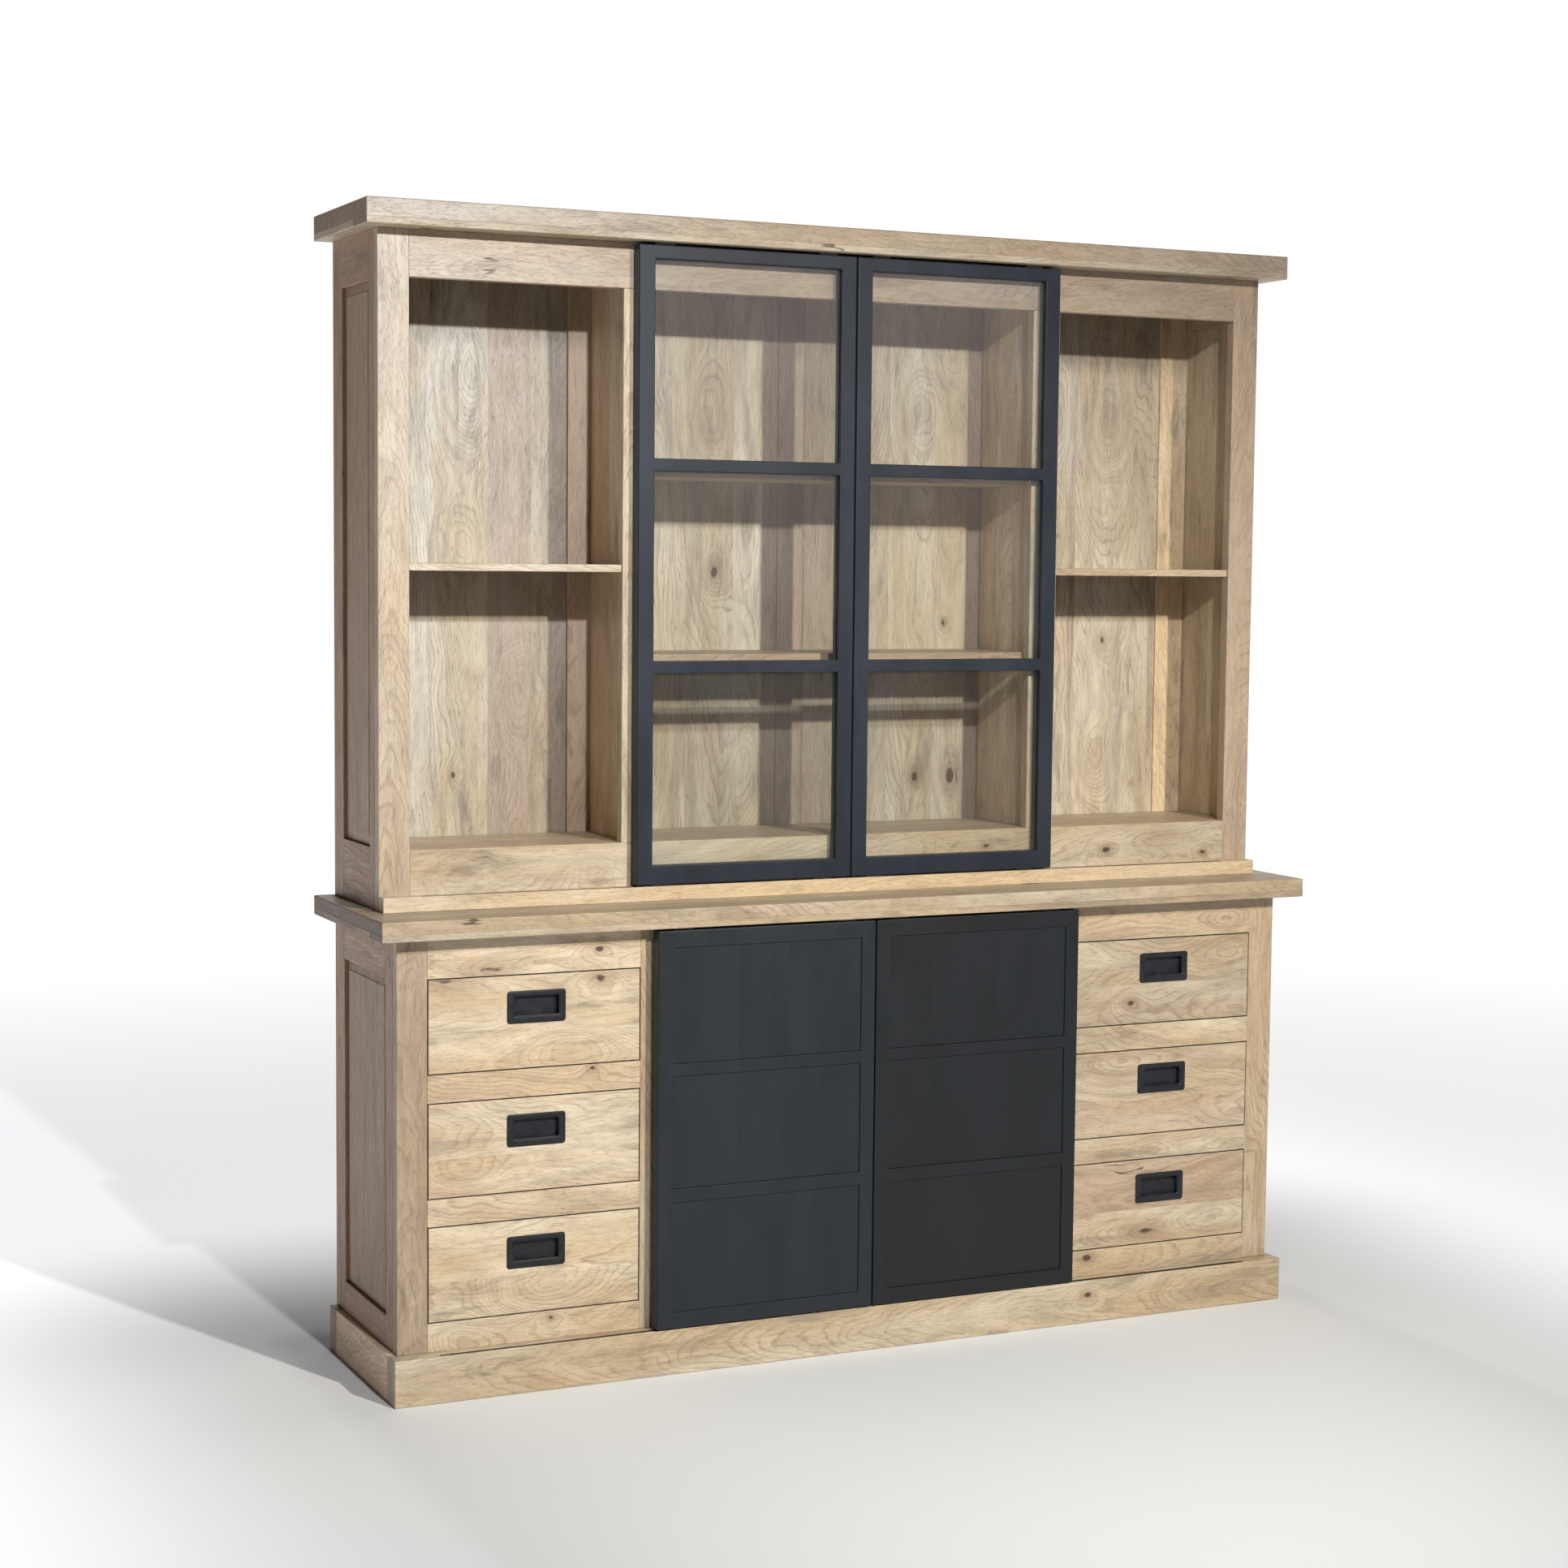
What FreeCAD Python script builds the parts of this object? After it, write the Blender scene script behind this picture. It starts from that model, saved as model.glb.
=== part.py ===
import FreeCAD, Part
import os

# Two-part display cabinet in solid wood.
# Lower part: plinth, carcass with two banks of three drawers and a centre
# compartment behind two painted sliding doors, and a projecting top.
# Upper part: carcass with an open niche each side, a centre display behind two
# glazed sliding doors, and a projecting cornice.
# Millimetres. +Z up, front faces -Y, +X to the right seen from the front.
# Origin: centre of the footprint, on the floor.

os.makedirs("parts", exist_ok=True)

V = FreeCAD.Vector

# ---------------------------------------------------------------- dimensions
# lower part
TOP_HX = 1047.5          # half width of the projecting top
TOP_Y0, TOP_Y1 = -235.0, 235.0
TOP_Z0, TOP_ZM, TOP_Z1 = 901.0, 914.5, 940.5   # lipping / board / upper face
LIP_F, LIP_S = 75.0, 62.5                      # width of the lipping, front and sides
CAR_HX = 1004.0          # half width of the lower carcass
CAR_Y0, CAR_Y1 = -185.0, 230.0
PL_HX, PL_Y0, PL_Y1, PL_Z1 = 1019.0, -220.0, 227.0, 92.0
SIDE_T = 19.0            # side frame members
FRAME_T = 25.0           # face frame depth
B_POST_X = 942.5         # inner edge of the outer face stiles
B_SP_Y0, B_SP_Y1 = -114.0, 165.0    # side panel opening
B_SP_Z0, B_SP_Z1 = 154.8, 817.1
MID_X0, MID_X1 = 436.0, 502.0       # lower mid stiles
B_FLOOR_Z0, B_FLOOR_Z1 = 130.0, 150.0
B_CTOP_Z0 = 836.0        # underside of the centre top rail
B_BACK_Y0, B_BACK_Y1 = 207.0, 219.0
B_PART_X0, B_PART_X1 = 460.0, 480.0
B_SHELF_Z0, B_SHELF_Z1 = 500.0, 518.0

# drawers, top row first
DR_X0, DR_X1 = 504.0, 940.5
DR_Z = [(636.0, 818.5), (393.0, 577.0), (150.5, 335.5)]
DR_GAP = 2.0
DR_FT = 22.0             # front thickness
DR_BOX_Y1 = 190.0
DR_SIDE_T = 14.0
DR_BOX_X0, DR_BOX_X1 = 510.0, 934.5
DR_BOX_UP, DR_BOX_DOWN = 12.0, 18.0  # box edges inside the front's edges
DR_BOTTOM_T = 8.0
DR_TRAVEL = 280.0

# flush pulls
PULL_W, PULL_H = 121.0, 64.0
PULL_X = 721.0
PULL_Z = [756.0, 513.5, 272.0]       # centre of each pull
PULL_PROUD = 2.0
PULL_CUP_W, PULL_CUP_H, PULL_CUP_D = 111.0, 54.0, 14.0
PULL_WALL = 2.0
PULL_AP_W, PULL_AP_H, PULL_AP_UP = 93.0, 38.0, 2.0

# lower doors
LD_Y0, LD_Y1 = -227.0, -195.0
LD_Z0, LD_Z1 = 95.0, 896.5
LD_XO, LD_XI = 481.0, 1.0
LD_STILE_O, LD_STILE_I = 449.4, 32.8
LD_FIELDS = [(629.0, 861.7), (377.6, 603.9), (127.3, 350.1)]
LD_STEP = 2.5
DOOR_TRAVEL = 460.0

# upper part
H_HX = 1005.0
H_Y0, H_Y1 = -74.0, 230.0
H_Z0, H_Z1 = 940.5, 2251.0
H_POST_X = 942.0
H_SP_Y0, H_SP_Y1 = -15.5, 165.6      # side panel opening
H_SP_Z0, H_SP_Z1 = 1061.2, 2155.6
H_MID_X0, H_MID_X1 = 435.8, 500.4
H_OPEN_Z0, H_OPEN_Z1 = 1057.7, 2160.2
H_FLOOR_Z0 = 1037.7
H_CEIL_Z0 = 2229.0
H_PART_X0, H_PART_X1 = 453.0, 473.0
H_BPOST_Y0, H_BPOST_Y1 = 174.0, 198.0        # upright members of the back
H_BPOSTS = [(453.0, 524.0), (914.0, 986.0)]
H_BPANEL_Y0, H_BPANEL_Y1 = 180.0, 192.0      # boards between them
H_BTONGUE = 6.0
N_SHELF_Z0, N_SHELF_Z1, N_SHELF_Y0 = 1600.0, 1615.0, -69.4
D_SHELVES = [(1420.0, 1435.0), (1791.0, 1809.0)]
D_SHELF_Y0 = -45.0
STRIP_Y0, STRIP_Z1 = -105.0, 970.0

# cornice
CO_HX = 1042.6
CO_Y0, CO_Y1 = -130.0, 235.0
CO_ZM, CO_Z1 = 2265.0, 2300.5
CO_LIP_F, CO_LIP_S = 86.0, 66.0

# upper doors
UD_Y0, UD_Y1 = -107.0, -79.0
UD_Z0, UD_Z1 = 973.0, 2246.0
UD_XO, UD_XI = 480.6, 1.0
UD_STILE_O, UD_STILE_I = 445.9, 35.4
UD_PANES = [(1826.5, 2218.5), (1423.0, 1800.9), (1011.6, 1397.9)]
GLASS_Y0, GLASS_Y1 = -98.0, -94.0
REBATE, GLASS_IN, BEAD_Y1 = 7.0, 6.5, -80.0

# running gear of the sliding doors
TRACK_W, TRACK_D, TRACK_WALL = 12.0, 8.0, 2.0
GUIDE_D = 10.0
GLIDE_L, GLIDE_W, GLIDE_IN = 40.0, 7.0, 12.0
GLIDE_X = (421.0, 61.0)


# ---------------------------------------------------------------- helpers
def box(x0, x1, y0, y1, z0, z1):
    if x1 < x0:
        x0, x1 = x1, x0
    if y1 < y0:
        y0, y1 = y1, y0
    if z1 < z0:
        z0, z1 = z1, z0
    return Part.makeBox(x1 - x0, y1 - y0, z1 - z0, V(x0, y0, z0))


def both(x0, x1, y0, y1, z0, z1):
    """The same piece on the left and on the right."""
    return [box(-x1, -x0, y0, y1, z0, z1), box(x0, x1, y0, y1, z0, z1)]


def cut(shape, tools):
    for t in tools:
        shape = shape.cut(t)
    return shape


def solids(shape):
    return list(shape.Solids)


NODES = {}


def save(name, parts):
    out = []
    for p in parts:
        out.extend(solids(p))
    NODES[name] = out
    shape = out[0] if len(out) == 1 else Part.makeCompound(out)
    shape.exportStep("parts/%s.step" % name)


def prism_y(profile_xz, y0, y1):
    """Closed polygon in X and Z, extruded along Y."""
    pts = [V(x, y0, z) for x, z in profile_xz]
    pts.append(pts[0])
    return Part.Face(Part.makePolygon(pts)).extrude(V(0, y1 - y0, 0))


def rounded_plate(x0, x1, z0, z1, y0, y1, r):
    b = box(x0, x1, y0, y1, z0, z1)
    edges = [e for e in b.Edges
             if abs(e.Vertexes[0].Point.x - e.Vertexes[1].Point.x) < 1e-6
             and abs(e.Vertexes[0].Point.z - e.Vertexes[1].Point.z) < 1e-6]
    return b.makeFillet(r, edges)


# ---------------------------------------------------------------- running gear
# Let-in channels: one pair of grooves at each level, closed in the middle and
# at the ends so that the glides stop there.
def channel(yc, z_open, depth, up, hx):
    """A slim channel whose mouth is at z_open; up is +1 for a mouth facing up."""
    z_far = z_open - up * depth
    body = box(-hx, hx, yc - TRACK_W / 2, yc + TRACK_W / 2, z_far, z_open)
    lo = z_far + up * TRACK_WALL
    slot = []
    for s in (-1, 1):
        slot.append(box(s * 37.0, s * 905.0,
                        yc - TRACK_W / 2 + TRACK_WALL, yc + TRACK_W / 2 - TRACK_WALL,
                        lo, z_open))
    return cut(body, slot)


TRACK_HX = 925.0
UD_YC = (UD_Y0 + UD_Y1) / 2.0
LD_YC = (LD_Y0 + LD_Y1) / 2.0


def track_seat(yc, z_open, depth, up):
    return box(-TRACK_HX, TRACK_HX, yc - TRACK_W / 2, yc + TRACK_W / 2,
               z_open - up * depth, z_open)


upper_track = channel(UD_YC, STRIP_Z1, TRACK_D, +1, TRACK_HX)
lower_track = channel(LD_YC, PL_Z1, TRACK_D, +1, TRACK_HX)
upper_guide = channel(UD_YC, H_Z1, GUIDE_D, -1, TRACK_HX)
lower_guide = channel(LD_YC, TOP_Z0, GUIDE_D, -1, TRACK_HX)
save("door_tracks", [upper_track, lower_track])
save("door_guides", [upper_guide, lower_guide])

# ---------------------------------------------------------------- plinth
pl_front = box(-PL_HX, PL_HX, PL_Y0, PL_Y0 + 50.0, 0, PL_Z1)
pl_front = cut(pl_front, [track_seat(LD_YC, PL_Z1, TRACK_D, +1)])
pl_back = box(-PL_HX, PL_HX, PL_Y1 - 44.0, PL_Y1, 0, PL_Z1)
pl_sides = both(PL_HX - 44.0, PL_HX, PL_Y0 + 50.0, PL_Y1 - 44.0, 0, PL_Z1)
save("plinth_frame", [pl_front, pl_back] + pl_sides)

# ---------------------------------------------------------------- lower carcass
def side_panel(sx, hx, y0, y1, z0, z1, tongue=7.0, step=4.0, margin=20.0, drop=4.0):
    """Fielded panel: a raised field with a bevelled margin, held by a tongue."""
    xo = hx - step                 # field surface
    xm = hx - step - drop          # margin surface at the frame
    xi = hx - SIDE_T               # inner surface
    core = box(xi, xm, y0, y1, z0, z1)
    # bevelled field: a frustum between the margin edge and the field
    a = [V(xm, y0, z0), V(xm, y1, z0), V(xm, y1, z1), V(xm, y0, z1)]
    m = margin
    b = [V(xo, y0 + m, z0 + m), V(xo, y1 - m, z0 + m),
         V(xo, y1 - m, z1 - m), V(xo, y0 + m, z1 - m)]
    faces = [Part.Face(Part.makePolygon([a[0], a[1], a[2], a[3], a[0]])),
             Part.Face(Part.makePolygon([b[0], b[1], b[2], b[3], b[0]]))]
    for i in range(4):
        j = (i + 1) % 4
        faces.append(Part.Face(Part.makePolygon([a[i], a[j], b[j], b[i], a[i]])))
    field = Part.makeSolid(Part.makeShell(faces))
    if field.Volume < 0:
        field.reverse()
    tg = box(xi + 2.5, xi + 7.5, y0 - tongue, y1 + tongue, z0 - tongue, z1 + tongue)
    body = core.fuse(field).fuse(tg).removeSplitter()
    if sx < 0:
        body = body.mirror(V(0, 0, 0), V(1, 0, 0))
    return body, (tg if sx > 0 else tg.mirror(V(0, 0, 0), V(1, 0, 0)))


def side_frames(hx, y0, y1, z0, z1, py0, py1, pz0, pz1):
    """Stiles and rails of the left and right side frames."""
    xi = hx - SIDE_T
    m = both(xi, hx, y0, py0, z0, z1) + both(xi, hx, py1, y1, z0, z1)
    m += both(xi, hx, py0, py1, z0, pz0) + both(xi, hx, py0, py1, pz1, z1)
    return m


def grooved(members, tongues):
    return [cut(m, tongues) for m in members]


B_IX = CAR_HX - SIDE_T
F_Y1 = CAR_Y0 + FRAME_T          # rear of the face frame
bp_r, tg_r = side_panel(+1, CAR_HX, B_SP_Y0, B_SP_Y1, B_SP_Z0, B_SP_Z1)
bp_l, tg_l = side_panel(-1, CAR_HX, B_SP_Y0, B_SP_Y1, B_SP_Z0, B_SP_Z1)
save("buffet_side_panels", [bp_l, bp_r])
save("buffet_side_frames",
     grooved(side_frames(CAR_HX, F_Y1, CAR_Y1, PL_Z1, TOP_Z0,
                         B_SP_Y0, B_SP_Y1, B_SP_Z0, B_SP_Z1), [tg_l, tg_r]))

save("buffet_face_stiles",
     both(B_POST_X, CAR_HX, CAR_Y0, F_Y1, PL_Z1, TOP_Z0)
     + both(MID_X0, MID_X1, CAR_Y0, F_Y1, PL_Z1, TOP_Z0))

# rails between the drawers, and the centre opening's top and bottom rails
fr = []
levels = [PL_Z1]
for z0, z1 in reversed(DR_Z):
    levels.append(z0 - DR_GAP)
    levels.append(z1 + DR_GAP)
levels.append(TOP_Z0)
for i in range(0, len(levels), 2):
    fr += both(MID_X1, B_POST_X, CAR_Y0, F_Y1, levels[i], levels[i + 1])
fr.append(box(-MID_X0, MID_X0, CAR_Y0, F_Y1, PL_Z1, B_FLOOR_Z1))
fr.append(box(-MID_X0, MID_X0, CAR_Y0, F_Y1, B_CTOP_Z0, TOP_Z0))
save("buffet_face_rails", fr)

# floor: one board, behind the face frame, between the side frames
save("buffet_floor_board", [box(-B_IX, B_IX, F_Y1, B_BACK_Y0, B_FLOOR_Z0, B_FLOOR_Z1)])
save("buffet_partitions", both(B_PART_X0, B_PART_X1, F_Y1, B_BACK_Y0,
                               B_FLOOR_Z1, TOP_ZM))
save("buffet_shelf", [box(-B_PART_X0, B_PART_X0, -150.0, B_BACK_Y0, B_SHELF_Z0, B_SHELF_Z1)])
save("buffet_back_panel", [box(-B_IX, B_IX, B_BACK_Y0, B_BACK_Y1, PL_Z1, TOP_ZM)])

# ---------------------------------------------------------------- lower top
lip_f = box(-TOP_HX, TOP_HX, TOP_Y0, TOP_Y0 + LIP_F, TOP_Z0, TOP_ZM)
lip_f = cut(lip_f, [track_seat(LD_YC, TOP_Z0, GUIDE_D, -1)])
lip_s = both(TOP_HX - LIP_S, TOP_HX, TOP_Y0 + LIP_F, TOP_Y1, TOP_Z0, TOP_ZM)
save("buffet_top_lipping", [lip_f] + lip_s)
save("buffet_top_board", [box(-TOP_HX, TOP_HX, TOP_Y0, TOP_Y1, TOP_ZM, TOP_Z1)])

# ---------------------------------------------------------------- drawers
ROWS = ["top", "middle", "bottom"]
runners = []
for row, (z0, z1) in enumerate(DR_Z):
    bz0 = z0 + DR_BOX_UP         # underside of the drawer box
    bz1 = z1 - DR_BOX_DOWN       # upper edge of the box sides
    for side, s in (("left", -1), ("right", 1)):
        name = "drawer_%s_%s" % (side, ROWS[row])
        xc, pzc = PULL_X, PULL_Z[row]
        fy0, fy1 = CAR_Y0, CAR_Y0 + DR_FT
        # front, with the pocket that takes the pull's cup
        c = 0.25
        pocket = box(xc - PULL_CUP_W / 2 - c, xc + PULL_CUP_W / 2 + c,
                     fy0, fy0 + PULL_CUP_D + c,
                     pzc - PULL_CUP_H / 2 - c, pzc + PULL_CUP_H / 2 + c)
        front = box(DR_X0, DR_X1, fy0, fy1, z0, z1).cut(pocket)
        # box: two sides, back and a bottom board in grooves
        by0, by1 = fy1, DR_BOX_Y1
        sides = [box(DR_BOX_X0, DR_BOX_X0 + DR_SIDE_T, by0, by1, bz0, bz1),
                 box(DR_BOX_X1 - DR_SIDE_T, DR_BOX_X1, by0, by1, bz0, bz1)]
        g = 5.0
        bb0, bb1 = bz0 + 6.0, bz0 + 6.0 + DR_BOTTOM_T
        back = box(DR_BOX_X0 + DR_SIDE_T, DR_BOX_X1 - DR_SIDE_T,
                   by1 - DR_SIDE_T, by1, bb1, bz1)
        bottom = box(DR_BOX_X0 + DR_SIDE_T - g, DR_BOX_X1 - DR_SIDE_T + g,
                     by0, by1, bb0, bb1)
        sides = [x.cut(bottom) for x in sides]
        # pull: a rim on the face and a cup behind it; the hollow is wider than
        # the mouth, so that fingers hook behind the rim
        az = pzc + PULL_AP_UP
        w = PULL_WALL
        rim = rounded_plate(xc - PULL_W / 2, xc + PULL_W / 2,
                            pzc - PULL_H / 2, pzc + PULL_H / 2,
                            fy0 - PULL_PROUD, fy0, 6.0)
        cup = rounded_plate(xc - PULL_CUP_W / 2, xc + PULL_CUP_W / 2,
                            pzc - PULL_CUP_H / 2, pzc + PULL_CUP_H / 2,
                            fy0, fy0 + PULL_CUP_D, 5.0)
        hollow = rounded_plate(xc - PULL_CUP_W / 2 + w, xc + PULL_CUP_W / 2 - w,
                               pzc - PULL_CUP_H / 2 + w, pzc + PULL_CUP_H / 2 - w,
                               fy0, fy0 + PULL_CUP_D - w, 4.0)
        mouth = rounded_plate(xc - PULL_AP_W / 2, xc + PULL_AP_W / 2,
                              az - PULL_AP_H / 2, az + PULL_AP_H / 2,
                              fy0 - PULL_PROUD - 1.0, fy0 + 3.0, 4.0)
        pull = rim.fuse(cup).cut(hollow).cut(mouth).removeSplitter()

        def place(shape):
            return shape if s > 0 else shape.mirror(V(0, 0, 0), V(1, 0, 0))

        save(name + "_front", [place(front)])
        save(name + "_box", [place(x) for x in sides + [back, bottom]])
        save(name + "_pull", [place(pull)])

        # on each side: a ledge under the box side, a guide strip beside it and
        # a strip above it that keeps the open drawer from tipping
        ry0, ry1 = F_Y1, B_BACK_Y0
        zl = bz0 - 0.3
        zl0 = max(zl - 18.0, B_FLOOR_Z1)
        for xa, xb in ((B_PART_X1, DR_BOX_X0), (B_IX, DR_BOX_X1)):
            d = 1.0 if xb > xa else -1.0
            runners.append(place(box(xa, xb + d * DR_SIDE_T, ry0, ry1, zl0, zl)))
            runners.append(place(box(xa, xb - d * 0.6, ry0, ry1, zl, zl + 50.0)))
            runners.append(place(box(xa, xb + d * DR_SIDE_T, ry0, ry1,
                                     bz1 + 1.2, bz1 + 17.2)))
save("drawer_runners", runners)

# ---------------------------------------------------------------- upper carcass
H_IX = H_HX - SIDE_T
HF_Y1 = H_Y0 + FRAME_T           # rear of the face frame
hp_r, htg_r = side_panel(+1, H_HX, H_SP_Y0, H_SP_Y1, H_SP_Z0, H_SP_Z1)
hp_l, htg_l = side_panel(-1, H_HX, H_SP_Y0, H_SP_Y1, H_SP_Z0, H_SP_Z1)
save("hutch_side_panels", [hp_l, hp_r])
save("hutch_side_frames",
     grooved(side_frames(H_HX, HF_Y1, H_Y1, H_Z0, H_Z1,
                         H_SP_Y0, H_SP_Y1, H_SP_Z0, H_SP_Z1), [htg_l, htg_r]))

save("hutch_face_stiles",
     both(H_POST_X, H_HX, H_Y0, HF_Y1, H_Z0, H_Z1)
     + both(H_MID_X0, H_MID_X1, H_Y0, HF_Y1, H_OPEN_Z0, H_OPEN_Z1))
save("hutch_face_rails",
     [box(-H_POST_X, H_POST_X, H_Y0, HF_Y1, H_Z0, H_OPEN_Z0),
      box(-H_POST_X, H_POST_X, H_Y0, HF_Y1, H_OPEN_Z1, H_Z1)])

save("hutch_floor_board", [box(-H_IX, H_IX, HF_Y1, H_BPOST_Y0, H_FLOOR_Z0, H_OPEN_Z0)])
save("hutch_ceiling_board", [box(-H_IX, H_IX, HF_Y1, H_BPOST_Y0, H_CEIL_Z0, H_Z1)])
save("hutch_partitions", both(H_PART_X0, H_PART_X1, HF_Y1, H_BPOST_Y0,
                              H_OPEN_Z0, H_CEIL_Z0))

# back: upright members with boards let into their edges
t = H_BTONGUE
cx = H_BPOSTS[0][0]
nx0, nx1 = H_BPOSTS[0][1], H_BPOSTS[1][0]
back_panels = [box(-cx - t, cx + t, H_BPANEL_Y0, H_BPANEL_Y1, H_Z0, H_Z1)]
back_panels += both(nx0 - t, nx1 + t, H_BPANEL_Y0, H_BPANEL_Y1, H_Z0, H_Z1)
save("hutch_back_panels", back_panels)
bposts = []
for a, b in H_BPOSTS:
    bposts += both(a, b, H_BPOST_Y0, H_BPOST_Y1, H_Z0, H_Z1)
save("hutch_back_posts", grooved(bposts, back_panels))

# niche shelves: their front edge comes forward between the stiles
sh = []
for s in (-1, 1):
    a = box(s * H_PART_X1, s * H_IX, HF_Y1, H_BPOST_Y0, N_SHELF_Z0, N_SHELF_Z1)
    m = box(s * nx0, s * nx1, H_BPOST_Y0, H_BPANEL_Y0, N_SHELF_Z0, N_SHELF_Z1)
    f = box(s * H_MID_X1, s * H_POST_X, N_SHELF_Y0, HF_Y1, N_SHELF_Z0, N_SHELF_Z1)
    sh.append(a.fuse(m).fuse(f).removeSplitter())
save("niche_shelves", sh)
save("display_shelves", [box(-H_PART_X0, H_PART_X0, D_SHELF_Y0, H_BPANEL_Y0, a, b)
                         for a, b in D_SHELVES])

strip = box(-H_HX, H_HX, STRIP_Y0, H_Y0, H_Z0, STRIP_Z1)
save("hutch_base_strip", [cut(strip, [track_seat(UD_YC, STRIP_Z1, TRACK_D, +1)])])

# ---------------------------------------------------------------- cornice
cl_f = box(-CO_HX, CO_HX, CO_Y0, CO_Y0 + CO_LIP_F, H_Z1, CO_ZM)
cl_f = cut(cl_f, [track_seat(UD_YC, H_Z1, GUIDE_D, -1)])
cl_s = both(CO_HX - CO_LIP_S, CO_HX, CO_Y0 + CO_LIP_F, CO_Y1, H_Z1, CO_ZM)
save("cornice_lipping", [cl_f] + cl_s)
save("cornice_board", [box(-CO_HX, CO_HX, CO_Y0, CO_Y1, CO_ZM, CO_Z1)])


# ---------------------------------------------------------------- sliding doors
def glides(xs, yc, z_bot, z_top, reach_bot, reach_top):
    out = []
    for x in xs:
        out.append(box(x - GLIDE_L / 2, x + GLIDE_L / 2, yc - GLIDE_W / 2, yc + GLIDE_W / 2,
                       z_bot - reach_bot, z_bot + GLIDE_IN))
        out.append(box(x - GLIDE_L / 2, x + GLIDE_L / 2, yc - GLIDE_W / 2, yc + GLIDE_W / 2,
                       z_top - GLIDE_IN, z_top + reach_top))
    return out


def sliding_door(s, xo, xi, so, si, y0, y1, z0, z1, fields):
    """Stiles and rails of a door, as separate members, on side s."""
    m = [box(s * so, s * xo, y0, y1, z0, z1), box(s * xi, s * si, y0, y1, z0, z1)]
    zs = sorted([z0, z1] + [z for f in fields for z in f])
    for i in range(0, len(zs), 2):
        m.append(box(s * si, s * so, y0, y1, zs[i], zs[i + 1]))
    return m


for side, s in (("left", -1), ("right", 1)):
    # glazed door of the upper part: panes in a rebate, held by beads
    frame = sliding_door(s, UD_XO, UD_XI, UD_STILE_O, UD_STILE_I,
                         UD_Y0, UD_Y1, UD_Z0, UD_Z1, UD_PANES)
    rebates, panes, beads = [], [], []
    r = REBATE
    for a, b in UD_PANES:
        rebates.append(box(s * (UD_STILE_I - r), s * (UD_STILE_O + r),
                           GLASS_Y0, UD_Y1, a - r, b + r))
        panes.append(box(s * (UD_STILE_I - GLASS_IN), s * (UD_STILE_O + GLASS_IN),
                         GLASS_Y0, GLASS_Y1, a - GLASS_IN, b + GLASS_IN))
        beads.append(box(s * (UD_STILE_I - r), s * UD_STILE_I, GLASS_Y1, BEAD_Y1, a - r, b + r))
        beads.append(box(s * UD_STILE_O, s * (UD_STILE_O + r), GLASS_Y1, BEAD_Y1, a - r, b + r))
        beads.append(box(s * UD_STILE_I, s * UD_STILE_O, GLASS_Y1, BEAD_Y1, a - r, a))
        beads.append(box(s * UD_STILE_I, s * UD_STILE_O, GLASS_Y1, BEAD_Y1, b, b + r))
    gl = glides([s * x for x in GLIDE_X], UD_YC, UD_Z0, UD_Z1, 8.8, 9.0)
    save("upper_door_%s_frame" % side, [cut(m, rebates + gl) for m in frame])
    save("upper_door_%s_glass" % side, panes)
    save("upper_door_%s_beads" % side, beads)
    save("upper_door_%s_glides" % side, gl)

    # panelled door of the lower part: panels held by a tongue in a groove
    frame = sliding_door(s, LD_XO, LD_XI, LD_STILE_O, LD_STILE_I,
                         LD_Y0, LD_Y1, LD_Z0, LD_Z1, LD_FIELDS)
    tongues, panels = [], []
    for a, b in LD_FIELDS:
        t = box(s * (LD_STILE_I - 6.0), s * (LD_STILE_O + 6.0),
                LD_YC - 3.0, LD_YC + 3.0, a - 6.0, b + 6.0)
        p = box(s * LD_STILE_I, s * LD_STILE_O,
                LD_Y0 + LD_STEP, LD_Y0 + LD_STEP + 22.0, a, b)
        tongues.append(t)
        panels.append(p.fuse(t).removeSplitter())
    gl = glides([s * x for x in GLIDE_X], LD_YC, LD_Z0, LD_Z1, 8.8, 12.0)
    save("lower_door_%s_frame" % side, [cut(m, tongues + gl) for m in frame])
    save("lower_door_%s_panels" % side, panels)
    save("lower_door_%s_glides" % side, gl)

total = 0
for n in sorted(NODES):
    vols = [x.Volume for x in NODES[n]]
    ok = all(x.isValid() for x in NODES[n])
    total += sum(vols)
    print("%-28s %2d solids  %9.1f cm3  %s" % (n, len(vols), sum(vols) / 1000.0, "ok" if ok else "INVALID"))
bb = Part.makeCompound([x for v in NODES.values() for x in v]).BoundBox
print(len(NODES), "nodes,", round(total / 1e6, 2), "litres")
print("box", bb.XMin, bb.XMax, bb.YMin, bb.YMax, bb.ZMin, bb.ZMax)
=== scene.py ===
import math
import random
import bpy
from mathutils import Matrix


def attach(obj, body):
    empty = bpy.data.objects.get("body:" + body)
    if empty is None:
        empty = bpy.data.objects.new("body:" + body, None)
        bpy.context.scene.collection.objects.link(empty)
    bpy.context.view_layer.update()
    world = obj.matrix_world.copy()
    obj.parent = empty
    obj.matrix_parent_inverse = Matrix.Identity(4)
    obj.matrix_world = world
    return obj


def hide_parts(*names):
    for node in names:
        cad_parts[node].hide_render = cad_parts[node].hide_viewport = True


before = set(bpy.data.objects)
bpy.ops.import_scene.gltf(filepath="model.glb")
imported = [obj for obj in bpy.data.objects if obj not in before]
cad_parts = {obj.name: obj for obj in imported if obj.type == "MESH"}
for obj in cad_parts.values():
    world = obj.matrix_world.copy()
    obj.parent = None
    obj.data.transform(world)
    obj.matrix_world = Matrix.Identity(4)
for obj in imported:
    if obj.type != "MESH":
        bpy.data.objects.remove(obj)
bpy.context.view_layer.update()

import zlib

import bpy
from mathutils import Matrix, Vector

MM = 0.001
scene = bpy.context.scene


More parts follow.
